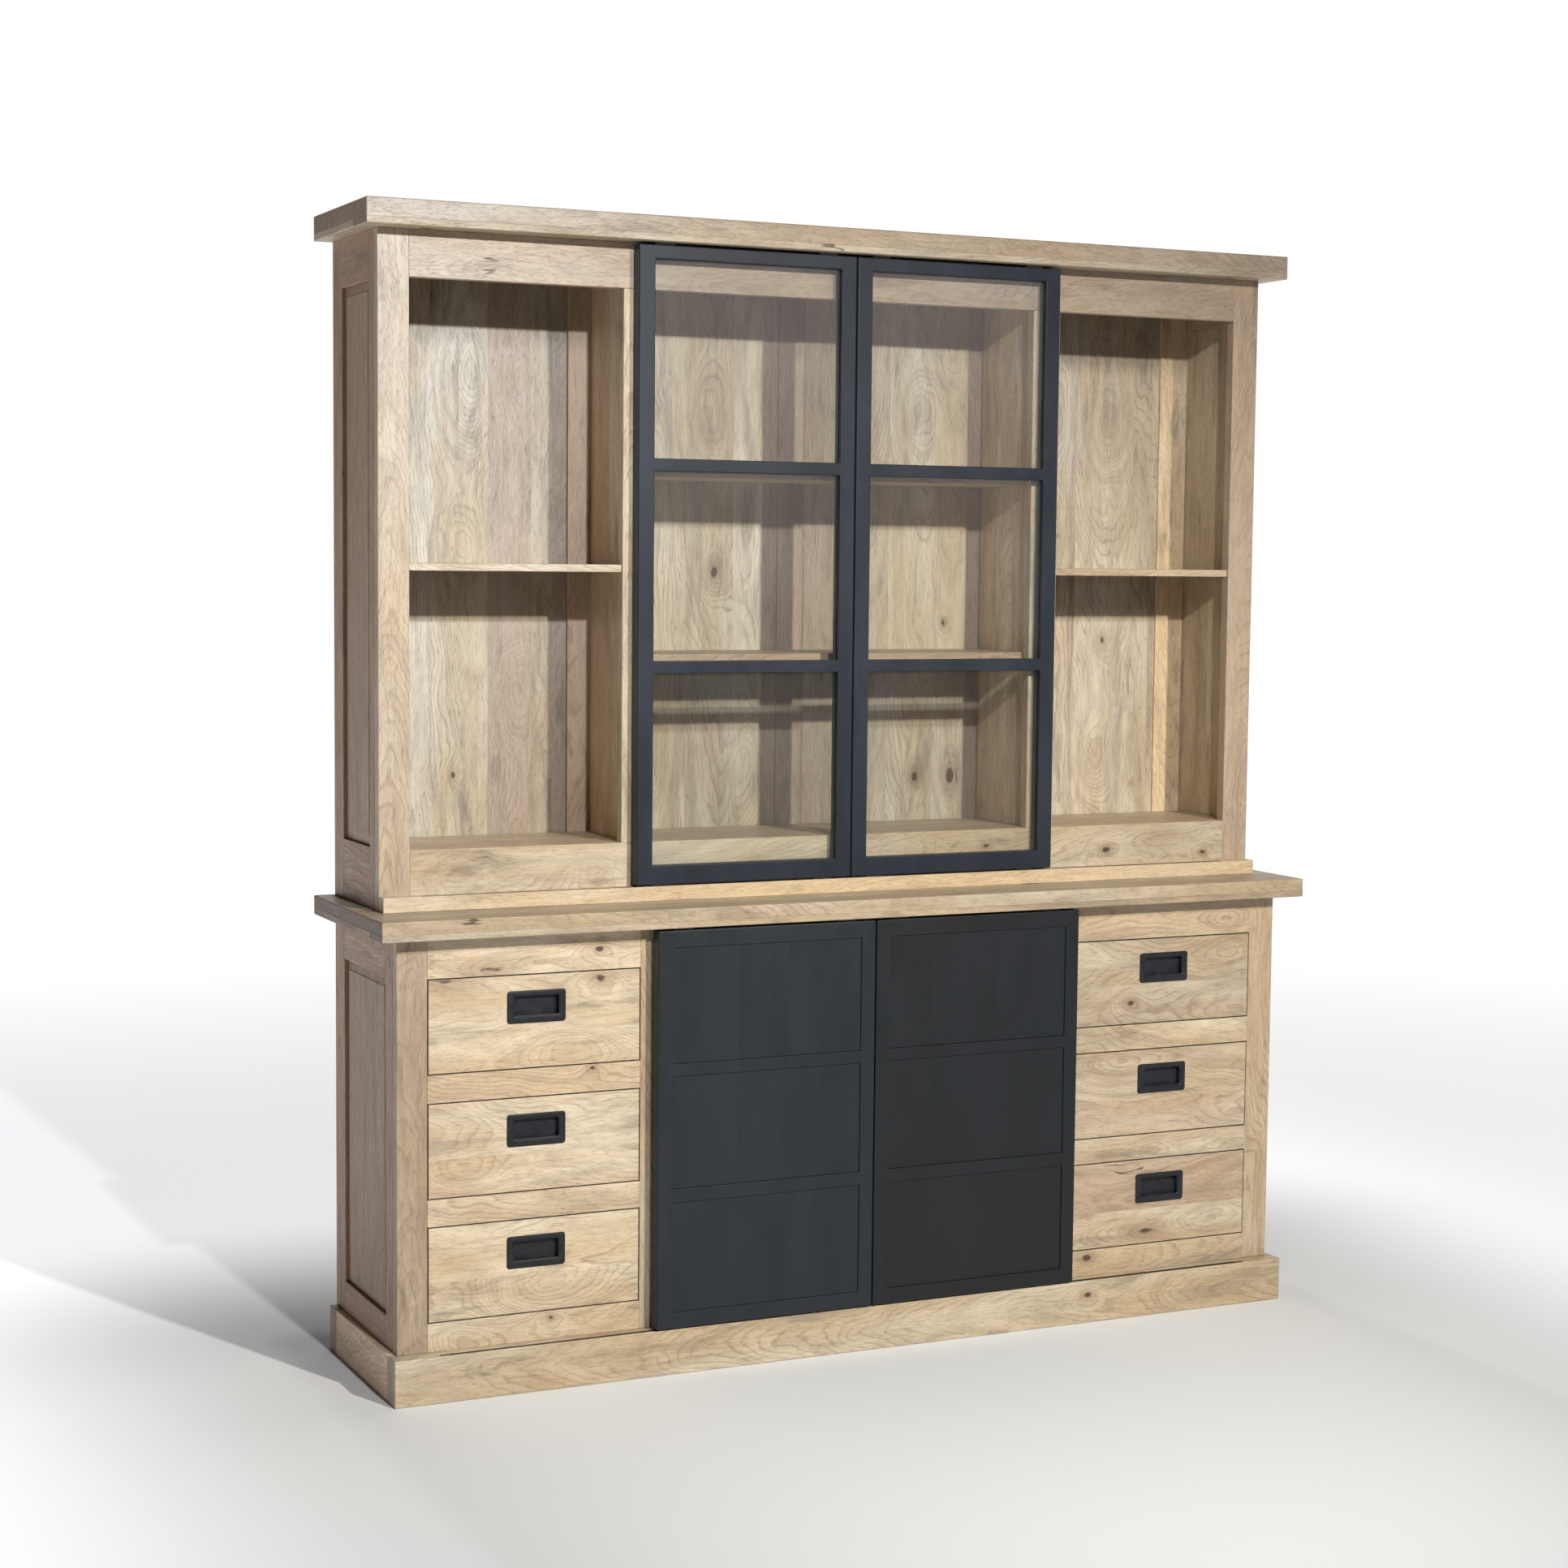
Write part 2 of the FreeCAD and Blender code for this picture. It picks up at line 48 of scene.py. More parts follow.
# =====================================================================
# camera, at the photograph's viewing angle
# =====================================================================
def make_camera():
    az, el, roll = math.radians(25.18), math.radians(-4.569), math.radians(-0.544)
    f = Vector((math.sin(az) * math.cos(el), math.cos(az) * math.cos(el), math.sin(el)))
    r = f.cross(Vector((0, 0, 1))).normalized()
    d = f.cross(r)
    c, s = math.cos(roll), math.sin(roll)
    right = c * r + s * d
    down = -s * r + c * d
    m = Matrix.Identity(4)
    for i in range(3):
        m[i][0], m[i][1], m[i][2] = right[i], -down[i], -f[i]
    m[0][3], m[1][3], m[2][3] = -2.56565, -5.23281, 1.62259
    cam = bpy.data.cameras.new("camera")
    cam.sensor_width = 36.0
    cam.sensor_fit = "HORIZONTAL"
    cam.lens = 3417.39 / 1932.0 * 36.0
    cam.clip_start, cam.clip_end = 0.05, 200.0
    ob = bpy.data.objects.new("camera", cam)
    ob.matrix_world = m
    scene.collection.objects.link(ob)
    scene.camera = ob
    return ob


make_camera()


# =====================================================================
# node helpers
# =====================================================================
class Graph:
    def __init__(self, name):
        self.mat = bpy.data.materials.new(name)
        self.mat.use_nodes = True
        self.t = self.mat.node_tree
        self.t.nodes.clear()
        self.out = self.t.nodes.new("ShaderNodeOutputMaterial")
        self.bsdf = self.t.nodes.new("ShaderNodeBsdfPrincipled")
        self.t.links.new(self.bsdf.outputs[0], self.out.inputs[0])

    def put(self, socket, value):
        if value is None:
            return
        if isinstance(value, bpy.types.NodeSocket):
            self.t.links.new(value, socket)
        else:
            socket.default_value = value

    def set(self, name, value):
        self.put(self.bsdf.inputs[name], value)

    def attr(self, name, out="Vector"):
        n = self.t.nodes.new("ShaderNodeAttribute")
        n.attribute_type = "GEOMETRY"
        n.attribute_name = name
        return n.outputs[out]

    def math(self, op, a, b=None, c=None, clamp=False):
        n = self.t.nodes.new("ShaderNodeMath")
        n.operation = op
        n.use_clamp = clamp
        for i, v in enumerate((a, b, c)):
            self.put(n.inputs[i], v)
        return n.outputs[0]

    def vec(self, op, a, b=None):
        n = self.t.nodes.new("ShaderNodeVectorMath")
        n.operation = op
        self.put(n.inputs[0], a)
        if b is not None:
            self.put(n.inputs[1], b)
        return n.outputs["Value"] if op in ("LENGTH", "DOT_PRODUCT", "DISTANCE") else n.outputs[0]

    def sep(self, v):
        n = self.t.nodes.new("ShaderNodeSeparateXYZ")
        self.put(n.inputs[0], v)
        return n.outputs[0], n.outputs[1], n.outputs[2]

    def comb(self, x, y, z):
        n = self.t.nodes.new("ShaderNodeCombineXYZ")
        self.put(n.inputs[0], x)
        self.put(n.inputs[1], y)
        self.put(n.inputs[2], z)
        return n.outputs[0]

    def noise(self, v, scale=(1, 1, 1), detail=3.0, rough=0.5, dist=0.0, color=False):
        p = self.vec("MULTIPLY", v, scale)
        n = self.t.nodes.new("ShaderNodeTexNoise")
        n.noise_dimensions = "3D"
        self.put(n.inputs["Vector"], p)
        n.inputs["Scale"].default_value = 1.0
        n.inputs["Detail"].default_value = detail
        n.inputs["Roughness"].default_value = rough
        n.inputs["Distortion"].default_value = dist
        return n.outputs["Color"] if color else n.outputs["Fac"]

    def voronoi(self, v, scale=(1, 1, 1), feature="F1", rand=1.0):
        p = self.vec("MULTIPLY", v, scale)
        n = self.t.nodes.new("ShaderNodeTexVoronoi")
        n.feature = feature
        self.put(n.inputs["Vector"], p)
        n.inputs["Scale"].default_value = 1.0
        n.inputs["Randomness"].default_value = rand
        return n

    def ramp(self, fac, stops, interp="LINEAR"):
        n = self.t.nodes.new("ShaderNodeValToRGB")
        n.color_ramp.interpolation = interp
        e = n.color_ramp.elements
        while len(e) > 1:
            e.remove(e[-1])
        e[0].position = stops[0][0]
        e[0].color = stops[0][1]
        for p, col in stops[1:]:
            x = e.new(p)
            x.color = col
        self.put(n.inputs[0], fac)
        return n.outputs[0]

    def curve(self, fac, a, b, lo=0.0, hi=1.0, smooth=True):
        n = self.t.nodes.new("ShaderNodeMapRange")
        n.interpolation_type = "SMOOTHSTEP" if smooth else "LINEAR"
        self.put(n.inputs["Value"], fac)
        n.inputs["From Min"].default_value = a
        n.inputs["From Max"].default_value = b
        n.inputs["To Min"].default_value = lo
        n.inputs["To Max"].default_value = hi
        return n.outputs[0]

    def mix(self, fac, a, b, blend="MIX"):
        n = self.t.nodes.new("ShaderNodeMix")
        n.data_type = "RGBA"
        n.blend_type = blend
        self.put(n.inputs[0], fac)
        self.put(n.inputs[6], a)
        self.put(n.inputs[7], b)
        return n.outputs[2]

    def bump(self, height, strength=0.3, distance=0.001, normal=None):
        n = self.t.nodes.new("ShaderNodeBump")
        n.inputs["Strength"].default_value = strength
        n.inputs["Distance"].default_value = distance
        self.put(n.inputs["Height"], height)
        if normal is not None:
            self.put(n.inputs["Normal"], normal)
        return n.outputs[0]


def rgb(r, g, b, k=1.0):
    """A colour given as it looks on screen (0-255), as a linear colour times k."""
    def lin(c):
        c /= 255.0
        return c / 12.92 if c <= 0.04045 else ((c + 0.055) / 1.055) ** 2.4
    return (lin(r) * k, lin(g) * k, lin(b) * k, 1.0)


# =====================================================================
# materials
# =====================================================================
EXPO = 1 / 1.25     # screen colour to surface colour at the main light level


def wood_material(name, knots=1.0, shade=1.0, gloss=0.42, cool=0.0):
    """Pale knotty hardwood. Each stave carries its own coordinates: 'gco' has
    the grain along X and a random offset, 'loc' is measured from the heart of
    the log, 'tint' holds tone, warmth and figure, and 'kn' is the distance to
    a listed knot, with its size."""
    g = Graph(name)
    gco, loc = g.attr("gco"), g.attr("loc")
    tone, warm, fig = g.sep(g.attr("tint"))
    ku, kv, ks = g.sep(g.attr("kn"))
    gx, gy, gz = g.sep(gco)
    lx, ly, lz = g.sep(loc)

    # slow wander of the grain, and the bend round the knots
    w1 = g.noise(gco, (3.4, 7.5, 7.5), 2.0, 0.5)
    w2 = g.noise(gco, (9.0, 26.0, 26.0), 3.0, 0.55)
    w3 = g.noise(gco, (34.0, 90.0, 90.0), 2.0, 0.5)
    v = g.voronoi(gco, (2.3, 7.5, 7.5), "F1", 0.9)
    kd = v.outputs["Distance"]
    kr = g.sep(v.outputs["Color"])[0]
    kon = g.math("MULTIPLY", g.curve(kr, 0.85, 0.87), float(knots))
    swirl = g.math("MULTIPLY", g.curve(kd, 0.0, 0.45, 1.0, 0.0), kon)
    size = g.math("MAXIMUM", g.math("ABSOLUTE", ks), 0.0001)
    ke = g.vec("LENGTH", g.comb(g.math("MULTIPLY", ku, 0.66), kv, 0.0))
    ke = g.math("DIVIDE", ke, size)
    swirl2 = g.math("MULTIPLY", g.curve(ke, 0.0, 6.0, 1.0, 0.0), size)
    bend = g.math("ADD", g.math("MULTIPLY", swirl, 0.034), g.math("MULTIPLY", swirl2, 3.4))

    rad = g.math("SQRT", g.math("ADD", g.math("MULTIPLY", ly, ly), g.math("MULTIPLY", lz, lz)))
    rad = g.math("ADD", rad, lx)
    rad = g.math("ADD", rad, g.math("MULTIPLY", g.math("SUBTRACT", w1, 0.5), 0.095))
    rad = g.math("ADD", rad, g.math("MULTIPLY", g.math("SUBTRACT", w2, 0.5), 0.012))
    rad = g.math("ADD", rad, g.math("MULTIPLY", g.math("SUBTRACT", w3, 0.5), 0.0022))
    rad = g.math("SUBTRACT", rad, bend)

    ph = g.math("FRACT", g.math("MULTIPLY", rad, 122.0))
    ring = g.ramp(ph, [(0.0, (0.0, 0.0, 0.0, 1)), (0.15, (0, 0, 0, 1)), (0.62, (0.16, 0.16, 0.16, 1)),
                       (0.84, (1, 1, 1, 1)), (0.93, (0.8, 0.8, 0.8, 1)), (1.0, (0.0, 0.0, 0.0, 1))], "EASE")
    ph2 = g.math("FRACT", g.math("MULTIPLY", rad, 27.0))
    wide = g.ramp(ph2, [(0.0, (0.2, 0.2, 0.2, 1)), (0.3, (0, 0, 0, 1)), (0.75, (1, 1, 1, 1)),
                        (1.0, (0.2, 0.2, 0.2, 1))], "EASE")
    amp = g.curve(g.noise(gco, (3.4, 14.0, 14.0), 2.0, 0.5), 0.38, 0.60, 0.10, 1.0)
    nearby = g.math("MAXIMUM", g.curve(ke, 3.5, 6.5, 0.62, 0.0), g.math("MULTIPLY", swirl, 0.7))
    ring = g.math("MULTIPLY", ring, g.math("MAXIMUM", amp, nearby))
    smear = g.curve(g.noise(g.vec("ADD", gco, (5.7, 3.9, 8.2)), (4.6, 19.0, 19.0), 5.0, 0.66), 0.575, 0.70)

    # fibres, streaks and pores run along the grain and part at the knots
    lat = g.math("ADD", gy, g.math("MULTIPLY", g.math("SUBTRACT", w1, 0.5), 0.060))
    sgn = g.math("SIGN", kv)
    lat = g.math("SUBTRACT", lat, g.math("MULTIPLY", g.math("MULTIPLY", swirl2, sgn), 0.9))
    fc = g.comb(gx, lat, gz)
    fib = g.noise(fc, (10.0, 430.0, 430.0), 3.0, 0.65)
    fib2 = g.noise(fc, (6.5, 150.0, 150.0), 4.0, 0.62)
    pore = g.curve(g.noise(fc, (62.0, 950.0, 950.0), 1.0, 0.5), 0.58, 0.70)
    fleck = g.curve(g.noise(fc, (24.0, 340.0, 340.0), 2.0, 0.6), 0.55, 0.74)
    light = g.curve(g.noise(g.vec("ADD", fc, (3.3, 5.1, 0.7)), (18.0, 240.0, 240.0), 2.0, 0.6), 0.56, 0.76)

    # slow colour
    big = g.noise(gco, (1.4, 9.0, 9.0), 3.0, 0.6)
    big2 = g.noise(g.vec("ADD", fc, (7.3, 1.9, 4.1)), (3.0, 20.0, 20.0), 4.0, 0.62)
    mott = g.noise(g.vec("ADD", gco, (2.2, 6.3, 1.1)), (16.0, 52.0, 52.0), 4.0, 0.62)
    cream = rgb(230, 216, 190, EXPO)
    honey = rgb(216, 193, 157, EXPO)
    pink = rgb(205, 177, 152, EXPO)
    grey = rgb(166, 152, 133, EXPO)
    brown = rgb(146, 118, 92, EXPO)
    dark = rgb(98, 76, 58, EXPO)
    col = g.mix(g.curve(big, 0.36, 0.64), cream, honey)
    col = g.mix(g.math("MULTIPLY", g.curve(warm, 0.35, 1.0), 0.85), col, pink)
    col = g.mix(g.curve(warm, 1.0, 2.0, smooth=False), col, g.mix(1.0, col, (1.0, 0.81, 0.72, 1), "MULTIPLY"))
    gm = g.math("MULTIPLY", g.curve(big2, 0.49, 0.72), g.curve(warm, 0.0, 0.9, 0.80, 0.30))
    col = g.mix(gm, col, grey)
    col = g.mix(g.math("MULTIPLY", g.math("MULTIPLY", ring, g.curve(fig, 0.0, 1.0, 0.3, 1.0)), 0.46), col, brown)
    col = g.mix(g.math("MULTIPLY", g.math("MULTIPLY", wide, fig), 0.24), col, brown)
    col = g.mix(g.math("MULTIPLY", smear, 0.50), col, rgb(134, 118, 101, EXPO))
    col = g.mix(g.curve(fib2, 0.48, 0.76, 0.0, 0.24), col, brown)
    col = g.mix(g.curve(fib2, 0.26, 0.46, 0.22, 0.0), col, cream)
    col = g.mix(g.curve(fib, 0.50, 0.78, 0.0, 0.26), col, brown)
    col = g.mix(g.math("MULTIPLY", light, 0.26), col, cream)
    col = g.mix(g.math("MULTIPLY", fleck, 0.24), col, dark)
    col = g.mix(g.math("MULTIPLY", pore, 0.40), col, dark)
    mk = g.curve(mott, 0.30, 0.70, 0.91, 1.08, smooth=False)
    tone_k = g.math("MULTIPLY", g.math("MULTIPLY", tone, shade), mk)
    col = g.mix(1.0, col, g.comb(tone_k, g.math("MULTIPLY", tone_k, 1.0 + 0.07 * cool),
                                 g.math("MULTIPLY", tone_k, 1.0 + 0.18 * cool)), "MULTIPLY")

    # knots: a brown halo, a dark eye, and short checks beside it
    wob = g.math("MULTIPLY", g.math("ADD", g.math("SUBTRACT", w2, 0.5), g.math("MULTIPLY", g.math("SUBTRACT", w3, 0.5), 0.8)), 0.14)
    halo = g.math("MULTIPLY", g.curve(kd, 0.02, 0.28, 1.0, 0.0), kon)
    core = g.math("MULTIPLY", g.curve(g.math("ADD", kd, wob), 0.020, 0.055, 1.0, 0.0), kon)
    kdark = g.math("GREATER_THAN", ks, 0.0)
    ke2 = g.math("ADD", ke, g.math("MULTIPLY", wob, 9.0))
    halo = g.math("MAXIMUM", halo, g.math("MULTIPLY", g.curve(ke2, 0.4, 3.6, 1.0, 0.0),
                                          g.math("ADD", g.math("MULTIPLY", kdark, 0.7), 0.25)))
    core = g.math("MAXIMUM", core, g.math("MULTIPLY", g.curve(ke2, 0.45, 0.95, 1.0, 0.0), kdark))
    col = g.mix(g.math("MULTIPLY", halo, 0.50), col, brown)
    col = g.mix(g.math("MULTIPLY", core, 0.86), col, rgb(60, 43, 32, EXPO))
    ck = g.noise(fc, (2.5, 42.0, 42.0), 2.0, 0.5)
    ck = g.curve(g.math("ABSOLUTE", g.math("SUBTRACT", ck, 0.5)), 0.003, 0.010, 1.0, 0.0)
    cmask = g.noise(g.vec("ADD", gco, (3.1, 8.7, 2.2)), (7.0, 16.0, 16.0), 2.0, 0.5)
    cmask = g.curve(g.math("ADD", cmask, g.math("MULTIPLY", halo, 0.12)), 0.69, 0.74)
    ck = g.math("MULTIPLY", ck, cmask)
    col = g.mix(g.math("MULTIPLY", ck, 0.80), col, rgb(58, 42, 31, EXPO))
    g.set("Base Color", col)

    rough = g.math("ADD", g.curve(fib2, 0.3, 0.7, gloss - 0.05, gloss + 0.12), g.math("MULTIPLY", pore, 0.12))
    g.set("Roughness", rough)
    g.set("Specular IOR Level", 0.5)
    h = g.math("ADD", g.math("MULTIPLY", fib, 0.40), g.math("MULTIPLY", fib2, 0.45))
    h = g.math("SUBTRACT", h, g.math("MULTIPLY", g.math("ADD", pore, fleck), 0.40))
    h = g.math("SUBTRACT", h, g.math("MULTIPLY", ring, 0.20))
    h = g.math("SUBTRACT", h, g.math("MULTIPLY", g.math("ADD", ck, core), 1.2))
    g.set("Normal", g.bump(h, 0.55, 0.0006))
    return g.mat


def paint_material(name, base, light, rough, sheen, grain=0.5):
    """Satin paint over timber: a faint grain under the film, cloudy sheen, a
    few rubbed marks."""
    g = Graph(name)
    gco = g.attr("gco")
    cloud = g.noise(gco, (3.0, 9.0, 9.0), 4.0, 0.6)
    fine = g.noise(gco, (40.0, 260.0, 260.0), 3.0, 0.6)
    grainy = g.noise(gco, (7.0, 150.0, 150.0), 4.0, 0.6)
    col = g.mix(g.curve(cloud, 0.36, 0.66), base, light)
    col = g.mix(g.curve(grainy, 0.54, 0.78, 0.0, 0.28), col, tuple(c * 0.62 for c in base[:3]) + (1.0,))
    scuff = g.noise(g.vec("ADD", gco, (4.7, 2.9, 8.8)), (9.0, 46.0, 46.0), 2.0, 0.5)
    smask = g.noise(gco, (2.1, 3.7, 3.7), 2.0, 0.5)
    scuff = g.math("MULTIPLY", g.curve(scuff, 0.66, 0.72), g.curve(smask, 0.60, 0.68))
    col = g.mix(g.math("MULTIPLY", scuff, 0.28), col, tuple(min(1.0, c * 3.2 + 0.015) for c in base[:3]) + (1.0,))
    # the tone from 'tint' scales the whole colour; on the lower right door it paints the shade
    tone = g.sep(g.attr("tint"))[0]
    col = g.mix(1.0, col, g.comb(tone, tone, tone), "MULTIPLY")
    g.set("Base Color", col)
    g.set("Roughness", g.curve(g.math("ADD", g.math("MULTIPLY", cloud, 0.6), g.math("MULTIPLY", fine, 0.4)),
                               0.3, 0.7, rough - 0.04, rough + 0.06))
    g.set("Specular IOR Level", sheen)
    h = g.math("ADD", g.math("MULTIPLY", grainy, grain), g.math("MULTIPLY", fine, 0.25))
    g.set("Normal", g.bump(h, 0.35, 0.0005))
    return g.mat


def metal_coat_material(name):
    """Near-black powder coat with a fine orange-peel and slightly rubbed spots."""
    g = Graph(name)
    tc = g.t.nodes.new("ShaderNodeTexCoord").outputs["Object"]
    peel = g.noise(tc, (900, 900, 900), 2.0, 0.5)
    cloud = g.noise(tc, (60, 60, 60), 4.0, 0.6)
    col = g.mix(g.curve(cloud, 0.38, 0.68), rgb(29, 32, 37), rgb(36, 39, 44))
    rub = g.curve(g.noise(tc, (210, 210, 210), 2.0, 0.6), 0.67, 0.76)
    col = g.mix(g.math("MULTIPLY", rub, 0.25), col, rgb(92, 92, 92))
    g.set("Base Color", col)
    g.set("Roughness", g.curve(cloud, 0.3, 0.7, 0.36, 0.52))
    g.set("Specular IOR Level", 0.28)
    g.set("Normal", g.bump(peel, 0.22, 0.00025))
    return g.mat


def glass_material(name):
    """Clear pane: mirrors the room a little, lets the shelves show, and keeps
    a faint film of dust and wipe marks."""
    g = Graph(name)
    tc = g.t.nodes.new("ShaderNodeTexCoord").outputs["Object"]
    wipe = g.noise(tc, (2.2, 9.0, 3.4), 4.0, 0.6, 0.8)
    clear = g.t.nodes.new("ShaderNodeBsdfTransparent")
    clear.inputs[0].default_value = (0.955, 0.965, 0.962, 1)
    gloss = g.t.nodes.new("ShaderNodeBsdfGlossy")
    gloss.inputs["Color"].default_value = (1.0, 1.0, 1.0, 1)
    g.put(gloss.inputs["Roughness"], g.curve(wipe, 0.3, 0.7, 0.02, 0.07))
    # the light isn't bent in the pane, so both its faces mirror alike
    lw = g.t.nodes.new("ShaderNodeLayerWeight")
    lw.inputs["Blend"].default_value = 0.5
    fr = g.curve(g.math("POWER", lw.outputs["Facing"], 5.0), 0.0, 1.0, 0.042, 1.0, smooth=False)
    m1 = g.t.nodes.new("ShaderNodeMixShader")
    g.t.links.new(fr, m1.inputs[0])
    g.t.links.new(clear.outputs[0], m1.inputs[1])
    g.t.links.new(gloss.outputs[0], m1.inputs[2])
    g.set("Base Color", (0.66, 0.67, 0.68, 1))
    g.set("Roughness", 0.6)
    g.set("Specular IOR Level", 0.1)
    m2 = g.t.nodes.new("ShaderNodeMixShader")
    g.t.links.new(g.curve(wipe, 0.3, 0.7, 0.006, 0.020), m2.inputs[0])
    g.t.links.new(m1.outputs[0], m2.inputs[1])
    g.t.links.new(g.bsdf.outputs[0], m2.inputs[2])
    g.t.links.new(m2.outputs[0], g.out.inputs[0])
    return g.mat


def plain_material(name, kind):
    g = Graph(name)
    tc = g.t.nodes.new("ShaderNodeTexCoord").outputs["Object"]
    if kind == "nylon":
        n = g.noise(tc, (300, 300, 300), 3.0, 0.6)
        g.set("Base Color", g.mix(n, rgb(196, 194, 186), rgb(222, 220, 212)))
        g.set("Roughness", g.curve(n, 0.3, 0.7, 0.42, 0.58))
        g.set("Subsurface Weight", 0.0)
        g.set("Normal", g.bump(n, 0.2, 0.0003))
    elif kind == "track":
        n = g.noise(tc, (6, 900, 900), 3.0, 0.6)
        g.set("Base Color", g.mix(n, rgb(92, 86, 78), rgb(128, 120, 108)))
        g.set("Metallic", 1.0)
        g.set("Roughness", g.curve(n, 0.3, 0.7, 0.34, 0.5))
        g.set("Normal", g.bump(n, 0.25, 0.0003))
    return g.mat


MAT = {
    "wood_body": wood_material("wood_body"),
    "wood_back": wood_material("wood_back", knots=1.0, shade=1.06, cool=1.0),
    "wood_drawer_box": wood_material("wood_drawer_box", knots=0.4, shade=0.98, gloss=0.52),
    "paint_slate": paint_material("paint_slate", rgb(36, 42, 51), rgb(42, 48, 58), 0.40, 0.26),
    "paint_charcoal": paint_material("paint_charcoal", rgb(28, 34, 40), rgb(32, 38, 45), 0.46, 0.36),
    "pull_metal": metal_coat_material("pull_metal"),
    "pane_glass": glass_material("pane_glass"),
    "nylon": plain_material("nylon", "nylon"),
    "track": plain_material("track", "track"),
}


# =====================================================================
# mesh building
# =====================================================================
def seeded(*words):
    return random.Random(zlib.crc32("/".join(str(w) for w in words).encode()))


def weigh(me, inner):
    """Edge weights for the rounding: 1 on the outline, inner elsewhere."""
    ext = [(min(v.co[i] for v in me.vertices), max(v.co[i] for v in me.vertices)) for i in range(3)]
    near = {}
    for f in me.polygons:
        for k in f.edge_keys:
            near.setdefault(k, []).append(f.normal)
    wts = []
    for e in me.edges:
        n = near.get(tuple(sorted(e.vertices)), [])
        if len(n) != 2 or n[0].dot(n[1]) > 0.8:
            wts.append(0.0)
            continue
        a, b = (me.vertices[i].co for i in e.vertices)
        out = any(abs(a[i] - v) < 1e-6 and abs(b[i] - v) < 1e-6 for i in (0, 2) for v in ext[i])
        wts.append(1.0 if out else inner)
    at = me.attributes.new("bevel_weight_edge", "FLOAT", "EDGE")
    at.data.foreach_set("value", wts)


class Piece:
    """Collects boards that share one CAD node and turns them into one object."""

    def __init__(self, node, body, slot):
        self.node, self.body, self.slot = node, body, slot
        self.v, self.f = [], []
        self.nrm, self.gco, self.loc, self.tint, self.kn = [], [], [], [], []
        self.count = 0

    def add(self, verts, faces, normals, gco, loc, tint, kn=None):
        """verts in mm; the other lists are per face corner."""
        base = len(self.v)
        self.v += verts
        self.f += [tuple(base + i for i in f) for f in faces]
        self.nrm += normals
        self.gco += gco
        self.loc += loc
        self.tint += tint
        self.kn += kn or [(9.0, 9.0, 0.0001)] * len(tint)

    def finish(self, name=None, bevel=None, smooth=True, inner=1.0):
        me = bpy.data.meshes.new(name or self.node)
        me.from_pydata([(x * MM, y * MM, z * MM) for x, y, z in self.v], [], self.f)
        for key, data in (("gco", self.gco), ("loc", self.loc), ("tint", self.tint), ("kn", self.kn)):
            a = me.attributes.new(key, "FLOAT_VECTOR", "CORNER")
            a.data.foreach_set("vector", [c for p in data for c in p])
        me.polygons.foreach_set("use_smooth", [smooth] * len(me.polygons))
        if self.nrm and self.nrm[0] is not None:
            me.normals_split_custom_set(self.nrm)
        me.update()
        ob = bpy.data.objects.new(name or self.node, me)
        scene.collection.objects.link(ob)
        me.materials.append(MAT[self.slot])
        if bevel:
            width, segs = bevel
            m = ob.modifiers.new("edge", "BEVEL")
            m.width = width * MM
            m.segments = segs
            m.limit_method = "WEIGHT"
            weigh(me, inner)
            m.harden_normals = True
            m.use_clamp_overlap = True
        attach(ob, self.body)
        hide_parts(self.node)
        return ob


def stave_params(rnd, tone, warm, fig, jit=0.09):
    return {
        "off": (rnd.uniform(-9, 9), rnd.uniform(-9, 9), rnd.uniform(-9, 9)),
        "flip": rnd.choice((-1.0, 1.0)),
        "a": rnd.uniform(-0.045, 0.045),
        "b": rnd.choice((-1.0, 1.0)) * rnd.uniform(0.012, 0.075),
        "k": rnd.choice((-1.0, 1.0)) * rnd.uniform(0.03, 0.21),
        "tint": (tone + rnd.uniform(-jit, jit),
                 min(1.0, max(0.0, warm + rnd.uniform(-0.42, 0.42))),
                 min(1.0, max(0.05, fig + rnd.uniform(-0.32, 0.32)))),
    }


def lines(a, b, r, cuts, fine):
    """Grid lines from a to b with the rounding r[0], r[1] at the ends."""
    t = [1 - math.tan(math.radians(45.0 * i / fine)) for i in range(fine, -1, -1)]
    out = [a + r[0] * x for x in t] + [c for c in sorted(cuts) if a + r[0] + 0.01 < c < b - r[1] - 0.01]
    return out + [b - r[1] * x for x in reversed(t)]


def along(painted_shading, t):
    """Tone factor at place t of a list of (place, factor)."""
    if not painted_shading or t <= painted_shading[0][0]:
        return painted_shading[0][1] if painted_shading else 1.0
    for (a, fa), (b, fb) in zip(painted_shading, painted_shading[1:]):
        if t <= b:
            return fa + (fb - fa) * (t - a) / (b - a)
    return painted_shading[-1][1]


